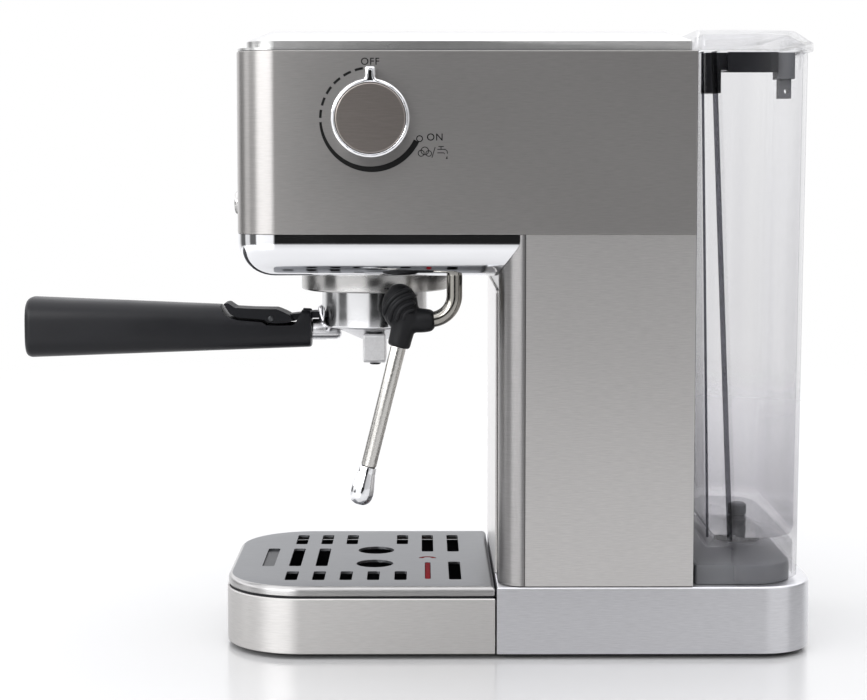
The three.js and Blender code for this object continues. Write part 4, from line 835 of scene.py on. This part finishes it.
def basket_clip():
    lever = soften([(-99.9, 174.7), (-97.4, 175.2), (-93.6, 172.6), (-84, 172.1), (-71.6, 171.9),
                    (-67.4, 170.2), (-64.5, 168.7), (-63, 165.6), (-66, 164.6), (-72, 164.3),
                    (-76, 164.8), (-78.6, 166.4), (-92, 167.4), (-96, 169)], 0.8, 4)
    nose = soften([(-66, 168.7), (-52, 170.4), (-48.8, 170.3), (-48.8, 167),
                   (-59, 166.9), (-62, 165.3), (-66, 165)], 0.8, 4)
    obj = build("basket_clip_finish", slab_y(lever, -9.3, 9.3))
    combine(obj, slab_y(nose, -5.8, 5.8), operation="UNION")
    combine(obj, block((-98, -66), (-3.1, 3.1), (160, 169)))
    stand_for(obj, "basket_clip", CLIP, smooth=40, edges=0.45)
    pin = turned(soften([(0, -9.7), (1.5, -9.7), (1.5, 9.7), (0, 9.7)], 0.4, closed=False), 24, False)
    pin = moved(pin, at(-74.6, 0, 166.8) @ FACING_NEAR)
    stand_for(build("clip_pin_finish", pin), "clip_pin", PULL_SHADE_AND_PIN_STEEL)


# ---------------------------------------------------------------- steam wand

def wand_tube():
    bend = 12.5
    corner = circle(bend, 18, (WAND_X - bend, KNUCKLE.z + bend), 0, -math.pi / 2)
    path = [(WAND_X, 207), (WAND_X, 192), *corner, (KNUCKLE.x + 6.6, KNUCKLE.z)]
    shell = swept([(x, KNUCKLE.y, z) for x, z in path], 4, 32)
    stand_for(build("wand_upper_tube_finish", shell), "wand_upper_tube", TUBE_STEEL)


DOME_X, DOME_Z = -2.6, 6.6  # the middle of the grip's dome, from the knuckle
DOME_SIZE = Vector((9.3, 7.6, 11.9))


def wand_ridge(side, radius):
    """A curved ridge for the thumb, on the near (-1) or the far (1) side of the dome."""
    path = []
    start, end = math.radians(84), math.radians(186)
    for x, z in circle(radius, 40, (KNUCKLE.x + 4.2, KNUCKLE.z + 0.4), start, end):
        local = Vector(((x - KNUCKLE.x - DOME_X) / DOME_SIZE.x, 0, (z - KNUCKLE.z - DOME_Z) / DOME_SIZE.z))
        if local.length < 0.985:
            out = DOME_SIZE.y * math.sqrt(1 - local.length_squared) - 0.35
            path.append((x, KNUCKLE.y + side * out, z))
    radii = [1.4 * min(1, 0.3 + 0.25 * min(i, len(path) - 1 - i)) for i in range(len(path))]
    return swept(path, radii, 14)


def wand_grip():
    tilt = Matrix.Rotation(WAND_TILT, 4, "Y")
    turns = [math.radians(d) for d in range(0, 181, 6)]
    dome = turned([(max(math.sin(a), 0), -math.cos(a)) for a in turns], 40, False)
    dome_place = at(KNUCKLE.x + DOME_X, KNUCKLE.y, KNUCKLE.z + DOME_Z)
    dome = moved(dome, dome_place @ Matrix.Diagonal((*DOME_SIZE, 1)))
    boss = soften([(0, -2), (6.1, -2), (6.3, 9), (5.6, 13.6), (3.4, 15.4), (0, 15.6)], 3, 5, closed=False)
    boss = moved(turned(boss, 40, False), at(KNUCKLE.x, KNUCKLE.y, KNUCKLE.z - 0.4) @ ALONG_X)
    sleeve = soften([(0, -14.4), (5.9, -14.4), (5.9, -11), (6.2, -4), (8, 4), (0, 5)], 1.6, 4, closed=False)
    sleeve = moved(turned(sleeve, 40, False), at(*KNUCKLE) @ tilt)
    obj = build("wand_grip_finish", dome, boss, sleeve)
    blend = obj.modifiers.new("blend", "REMESH")
    blend.mode, blend.voxel_size = "VOXEL", 0.00045
    ease = obj.modifiers.new("ease", "SMOOTH")
    ease.factor, ease.iterations = 0.5, 24
    settle(obj)
    ridges = [wand_ridge(side, radius) for side in (-1, 1) for radius in (5.0, 8.4, 11.8, 15.2)]
    ridges = build("ridges", *ridges)
    joined = bmesh.new()
    joined.from_mesh(obj.data)
    joined.from_mesh(ridges.data)
    joined.to_mesh(obj.data)
    joined.free()
    bpy.data.objects.remove(ridges)
    stand_for(obj, "wand_grip", RUBBER, smooth=60)


def wand_arm():
    place = at(*KNUCKLE) @ Matrix.Rotation(WAND_TILT, 4, "Y")
    tube = turned(soften([(2.4, -80.5), (3.5, -80.5), (3.5, -77.6), (4, -77.2), (4, -5), (2.4, -5)], 0.2), 40)
    stand_for(build("wand_lower_tube_finish", moved(tube, place)), "wand_lower_tube", PLAIN_STEEL)
    tip = [(0.8, -98), (3, -97.6), (4.7, -96.4), (5.7, -94.4), (6.15, -91.6), (5.95, -88.6),
           (5.2, -84.6), (4.55, -81), (4.4, -77.8), (3.8, -77.8), (3.8, -80.6), (0.8, -80.6)]
    tip = moved(turned(soften(tip, 0.5, 3), 48), place)
    stand_for(build("wand_nozzle_finish", tip), "wand_nozzle", CHROME)


# ---------------------------------------------------------------- drip tray

SLOT_PITCH, SLOT_WIDTH = 14.05, 6.3
PULL_COLUMN, FLOAT_COLUMN = -4, 2
GRID_TOP = 36.9
MARK_Y = -4  # the smiling arc beside the float's bar


def column_x(k):
    """The middle of the grid's k-th column of slots, counted from the group's axis."""
    return GROUP_X + SLOT_PITCH * k


def slot(k, y0, y1, z0=30):
    half = SLOT_WIDTH / 2
    return prism(rounded(column_x(k) - half, column_x(k) + half, y0, y1, (1.3,) * 4, 5), z0, 40)


def tray_mark(outer, inner, z0, z1, gap=0.0):
    """A half ring for the arc. gap is cut off at each end, in radians."""
    middle = (column_x(FLOAT_COLUMN), MARK_Y)
    rims = [circle(radius, 18, middle, gap, math.pi - gap) for radius in (outer, inner)]
    return prism(rims[0] + rims[1][::-1], z0, z1)


def tray_band():
    def outline(inset):
        return plan(TRAY_FRONT, TRAY_BACK - 0.4, HALF_WIDTH - 0.3, TRAY_CORNER, 0, inset, 24)

    obj = build("tray_band_finish", loft([
        (outline(0.35), 2.5), (outline(0), 2.9), (outline(0), 30.3), (outline(0.35), 30.8)]))
    inside = plan(TRAY_FRONT + 1.1, 80, HALF_WIDTH - 1.4, 38.9, 0, 0, 24)
    combine(obj, prism(inside, 0, 60))
    stand_for(obj, "tray_band", BAND_STEEL)


def drip_tray():
    def outline(inset):
        return plan(TRAY_FRONT, TRAY_BACK, HALF_WIDTH - 0.3, TRAY_CORNER, 0.9, inset, 24)

    obj = build("drip_tray_finish", prism(outline(1.4), 4.6, 31.7))
    combine(obj, prism(outline(3.4), 6.4, 60))
    stand_for(obj, "drip_tray", BLACK, edges=0.2)


def drip_grid():
    def outline(inset):
        return plan(TRAY_FRONT + 0.6, TRAY_BACK - 0.4, HALF_WIDTH - 1, rim, 0.9, inset, 24)

    rim, lip = TRAY_CORNER - 0.6, 2.6
    edge = rounded_over(outline, lip, GRID_TOP - lip)
    obj = build("drip_grid_finish", loft([(outline(0.2), 32), (outline(0), 32.3), *edge]))
    combine(obj, prism(outline(2.1), 31, 35.4))
    # the slots, as column, first y and last y
    rows = [(k, 34, 60) for k in (-3, -2, -1, 1)] + [(k, 13.5, 60) for k in (2, 3)]
    rows += [(k, -58, -37) for k in (-3, -2, -1, 0, 1)] + [(3, -57, -13)] + [(k, -24, 22) for k in (-3, -2)]
    holes = [moved(rod(9.75, 30, 40, 56), at(column_x(0), y, 0)) for y in (-17.5, 17.5)]
    x = column_x(FLOAT_COLUMN)
    float_slot = prism(rounded(x - 1.5, x + 1.5, -55.7, -14.6, (1.45,) * 4, 6), 30, 40)
    pull = slot(PULL_COLUMN, -24, 22, 35.6)
    combine(obj, *[slot(*row) for row in rows], *holes, pull, float_slot, tray_mark(4.75, 2.3, 30, 40))
    stand_for(obj, "drip_grid", GRID_SHADE_STEEL, smooth=28, edges=0.25)
    corner_x, corner_y = TRAY_FRONT + TRAY_CORNER, HALF_WIDTH - 1 - rim

    # painted shade: the finger pull's recess is near black, and the top and slot walls are darker than the
    # lip
    def pull_shade_or_lip(face, middle):
        x, y, z = middle
        if z > GRID_TOP - 0.05:
            return 0
        beyond = Vector((max(corner_x - x, 0), max(abs(y) - corner_y, 0)))
        if beyond.length > rim - lip - 0.15:
            return 2
        return abs(x - column_x(PULL_COLUMN)) < 3.2 and -24.1 < y < 22.1

    paint(obj, pull_shade_or_lip, PULL_SHADE_AND_PIN_STEEL, LIP_STEEL)


def tray_float():
    x = column_x(FLOAT_COLUMN)
    pad = block((x - 7, x + 7), (-60, 4), (7, 22), 2)
    bar = prism(rounded(x - 1.3, x + 1.3, -55.4, -14.9, (1.28,) * 4, 6), 21, 36.8)
    obj = build("tray_float_finish", pad, bar, tray_mark(4.65, 2.4, 21, 36.85, gap=0.08))
    stand_for(obj, "tray_float", RED, edges=0.25)


# ---------------------------------------------------------------- water tank

def tank_outline(z, inset=0.0, steps=10):
    """The tank's plan at a height: a narrower front, a sloping shoulder on each side, a rounded back."""
    share = (z - TANK_BOTTOM) / (HEAD_TOP - TANK_BOTTOM)
    front, back = 150 - 5.4 * share + inset, 198.2 + 2.4 * share - inset
    half, shoulder, curve = 72.6 - inset, 162.9 - 11.4 * share + inset, 22 - inset
    narrow, corner = half - 8, 2.4 - 0.6 * inset
    points = [(shoulder, -half)]
    points += circle(curve, steps, (back - curve, curve - half), -math.pi / 2, 0)
    points += circle(curve, steps, (back - curve, half - curve), 0, math.pi / 2)
    points += [(shoulder, half), (shoulder - 1.5, narrow)]
    points += circle(corner, 5, (front + corner, narrow - corner), math.pi / 2, math.pi)
    points += circle(corner, 5, (front + corner, corner - narrow), math.pi, 1.5 * math.pi)
    return points + [(shoulder - 1.5, -narrow)]


def tank_block(levels):
    """The tank's plan carried through [height, inset] levels."""
    return loft([(tank_outline(z, inset), z) for z, inset in levels])


def tank_shell():
    outside = tank_block([(TANK_BOTTOM, 0.5), (39.6, 0), (60, 0), (304.6, 0), (HEAD_TOP, 0.4)])
    obj = build("tank_shell_finish", outside)
    inside = tank_block([(60.2, 5.4), (61, 3.4), (62.6, 2.5), (64.6, 2.2), (306, 2.2)])
    underside = tank_block([(38, 2.2), (55, 2.2), (57, 2.9), (58, 4.6)])
    valve = moved(rod(4.5, 50, 65, 32), at(VALVE_X, 0, 0))
    combine(obj, inside, underside, block((130, 163), (-80, 80), (30, 55)), valve)
    lugs = []
    for y in HINGE_YS:
        lugs.append(block((198.6, HINGE_X), (y - 2, y + 2), (298, HINGE_Z)))
        lugs.append(moved(rod(2, -2, 2, 24), at(HINGE_X, y, HINGE_Z) @ FACING_NEAR))
    combine(obj, *lugs, operation="UNION")
    stand_for(obj, "tank_shell", TANK, smooth=40)

    # painted shade: the sloping shoulders get the dark clear tint, for the dark lines seen along them
    def shoulder(face, middle):
        return middle.x < 166 and abs(middle.y) > 63.4 and middle.z > 62 and face.normal.x < -0.2

    paint(obj, shoulder, TANK_EDGE_SHADE)


def tank_lid():
    def outline(inset, back_inset):
        return rounded(140.6 + inset, 203.2 - back_inset, -73 + inset, 73 - inset,
                       (2, 22 - inset, 22 - inset, 2), 10)

    body = loft([(outline(0, 0), 305.5), (outline(0, 0), 309.7),
                 (outline(0.8, 8.4), 314.9), (outline(1.3, 9), 315.3)])
    hollow = loft([(outline(4, 4), 304.5), (outline(4, 4), 308.9), (outline(5, 12), 313.3)])
    obj = combine(build("tank_lid_finish", body), hollow)
    knuckle = moved(rod(2, -23.6, 23.6, 24), at(HINGE_X, 0, HINGE_Z) @ FACING_NEAR)
    combine(obj, knuckle, operation="UNION")
    combine(obj, *[block((197, 206), (y - 2.4, y + 2.4), (304, 309.1)) for y in HINGE_YS])
    stand_for(obj, "tank_lid", LID, smooth=40)


def tank_fittings():
    for name, material in (("tank_handle", BLACK), ("lid_catch", GREY)):
        bevel(frame["nodes"][name], 0.5)
        dress(frame["nodes"][name], material)
    profile = soften([
        (0, 44.8), (6.6, 44.8), (7.3, 45.8), (7.3, 57.7), (4.1, 57.7), (4.1, 60.5),
        (4.9, 60.5), (4.9, 65.4), (3.6, 66.4), (0, 66.4)], 0.3, closed=False)
    valve = build("tank_valve_finish", moved(turned(profile, 40, False), at(VALVE_X, 0, 0)))
    stand_for(valve, "tank_valve", GREY)


for make in (base_shell, tank_platform, column_front,
             head_wrap, head_hood, top_cover, buttons, knob, printing,
             group_collar, portafilter_body, spout, handle, basket_clip,
             wand_tube, wand_grip, wand_arm,
             tray_band, drip_tray, drip_grid, tray_float,
             tank_shell, tank_lid, tank_fittings):
    make()


# ---------------------------------------------------------------- floor, light and camera

FLOOR_RADIUS, FLOOR_Z = 1500, -0.2
FADE = (0.8, 1.48)  # where the floor starts and ends fading out, in metres from its middle
SKY_STRENGTH = 1.95


def floor():
    """A pale worktop that fades into the white of the studio."""
    rim = [(x, y, FLOOR_Z) for x, y in circle(FLOOR_RADIUS, 96)]
    obj = build("floor", (rim, [tuple(range(96))]))
    made = Surface("floor", Roughness=0.18, IOR=1.6)
    made.color(made.noise((3, 3, 3), 2.0), (0.52, 0.52, 0.52), (0.525, 0.525, 0.525))
    reach = made.nodes.new("ShaderNodeVectorMath")
    reach.operation = "LENGTH"
    made.links.new(made.place, reach.inputs[0])
    fade = made.ranged(reach.outputs["Value"], 1, 0, FADE)
    fade.node.interpolation_type = "SMOOTHERSTEP"
    made.links.new(fade, made.shader.inputs["Alpha"])
    dress(obj, made.material)


class Sky(Tree):
    """The studio round the machine, as shades by direction."""

    def __init__(self):
        self.world = bpy.data.worlds.new("studio")
        super().__init__(self.world)
        self.nodes.clear()
        split = self.nodes.new("ShaderNodeSeparateXYZ")
        self.links.new(self.nodes.new("ShaderNodeTexCoord").outputs["Generated"], split.inputs[0])
        x, y, z = split.outputs
        turn = self.math("ARCTAN2", x, self.math("MULTIPLY", y, -1))
        # both as shares: azimuth 0.5 is towards -Y and more is towards +X, and height 0.5 is level
        self.azimuth = self.math("MULTIPLY_ADD", turn, 0.5 / math.pi, 0.5)
        self.height = self.math("MULTIPLY_ADD", self.math("ARCSINE", z), 1 / math.pi, 0.5)

    def shades(self, value, whole, *stops):
        """Shades at angles in degrees, for a value that is a share of whole degrees. 0.5 is 0 degrees."""
        grey = [(0.5 + degrees / whole, (shade, shade, shade * 1.012)) for degrees, shade in stops]
        return self.ramp(value, *grey)

    def around(self, *stops):
        """Shades by azimuth: 0 is behind the camera, -90 in front of the machine, 90 behind it."""
        return self.shades(self.azimuth, 360, *stops)

    def above(self, start, end):
        """0 up to the height start, and 1 from the height end, in degrees above level."""
        return self.shades(self.height, 180, (-90, 0), (start, 0), (end, 1), (90, 1))


def studio():
    """White for the camera. For light and reflections: soft boxes round the machine, with dark gaps."""
    sky = Sky()
    level = sky.around(
        (-180, 0.6), (-140, 0.5), (-124, 0.07), (-106, 0.06), (-102, 0.42), (-87, 0.42), (-82, 0.07),
        (-64, 0.07), (-60, 0.62), (-13, 0.55), (-9, 0.008), (12, 0.008), (16, 0.3), (62, 0.34),
        (72, 0.05), (112, 0.06), (140, 0.6), (180, 0.6))
    upper = sky.around(
        (-180, 0.6), (-130, 1.0), (-112, 1.5), (-60, 1.7), (-56, 4.2), (-16, 4.2), (-9, 0.15),
        (10, 0.14), (26, 0.4), (64, 0.42), (74, 0.1), (112, 0.2), (140, 0.6), (180, 0.6))
    lit = sky.blend(sky.above(8, 13), level, upper)
    lit = sky.blend(sky.above(19, 28), lit, (0.8, 0.8, 0.82, 1))
    lit = sky.blend(sky.above(46, 56), lit, (1.15, 1.15, 1.17, 1))
    soft = sky.nodes.new("ShaderNodeBackground")
    sky.links.new(lit, soft.inputs["Color"])
    soft.inputs["Strength"].default_value = SKY_STRENGTH
    white = sky.nodes.new("ShaderNodeBackground")
    white.inputs["Color"].default_value = (1, 1, 1, 1)
    seen = sky.nodes.new("ShaderNodeLightPath").outputs["Is Camera Ray"]
    shown = sky.between(seen, soft.outputs[0], white.outputs[0])
    sky.links.new(shown, sky.nodes.new("ShaderNodeOutputWorld").inputs["Surface"])
    bpy.context.scene.world = sky.world


def camera():
    """The photograph's view: from the machine's left, a metre off and a little above its middle."""
    data = bpy.data.cameras.new("camera")
    data.lens, data.sensor_width = 80.72, 36
    data.shift_y = -0.06
    data.clip_start, data.clip_end = 0.05, 50
    obj = add("camera", data)
    pitch, yaw = math.radians(-4.18), math.radians(-0.32)
    obj.location = (0.0052, -1.031, 0.2531)
    obj.rotation_euler = (math.pi / 2 + pitch, 0, yaw)
    bpy.context.scene.camera = obj


floor()
studio()
camera()
bpy.context.scene.view_settings.view_transform = "Standard"
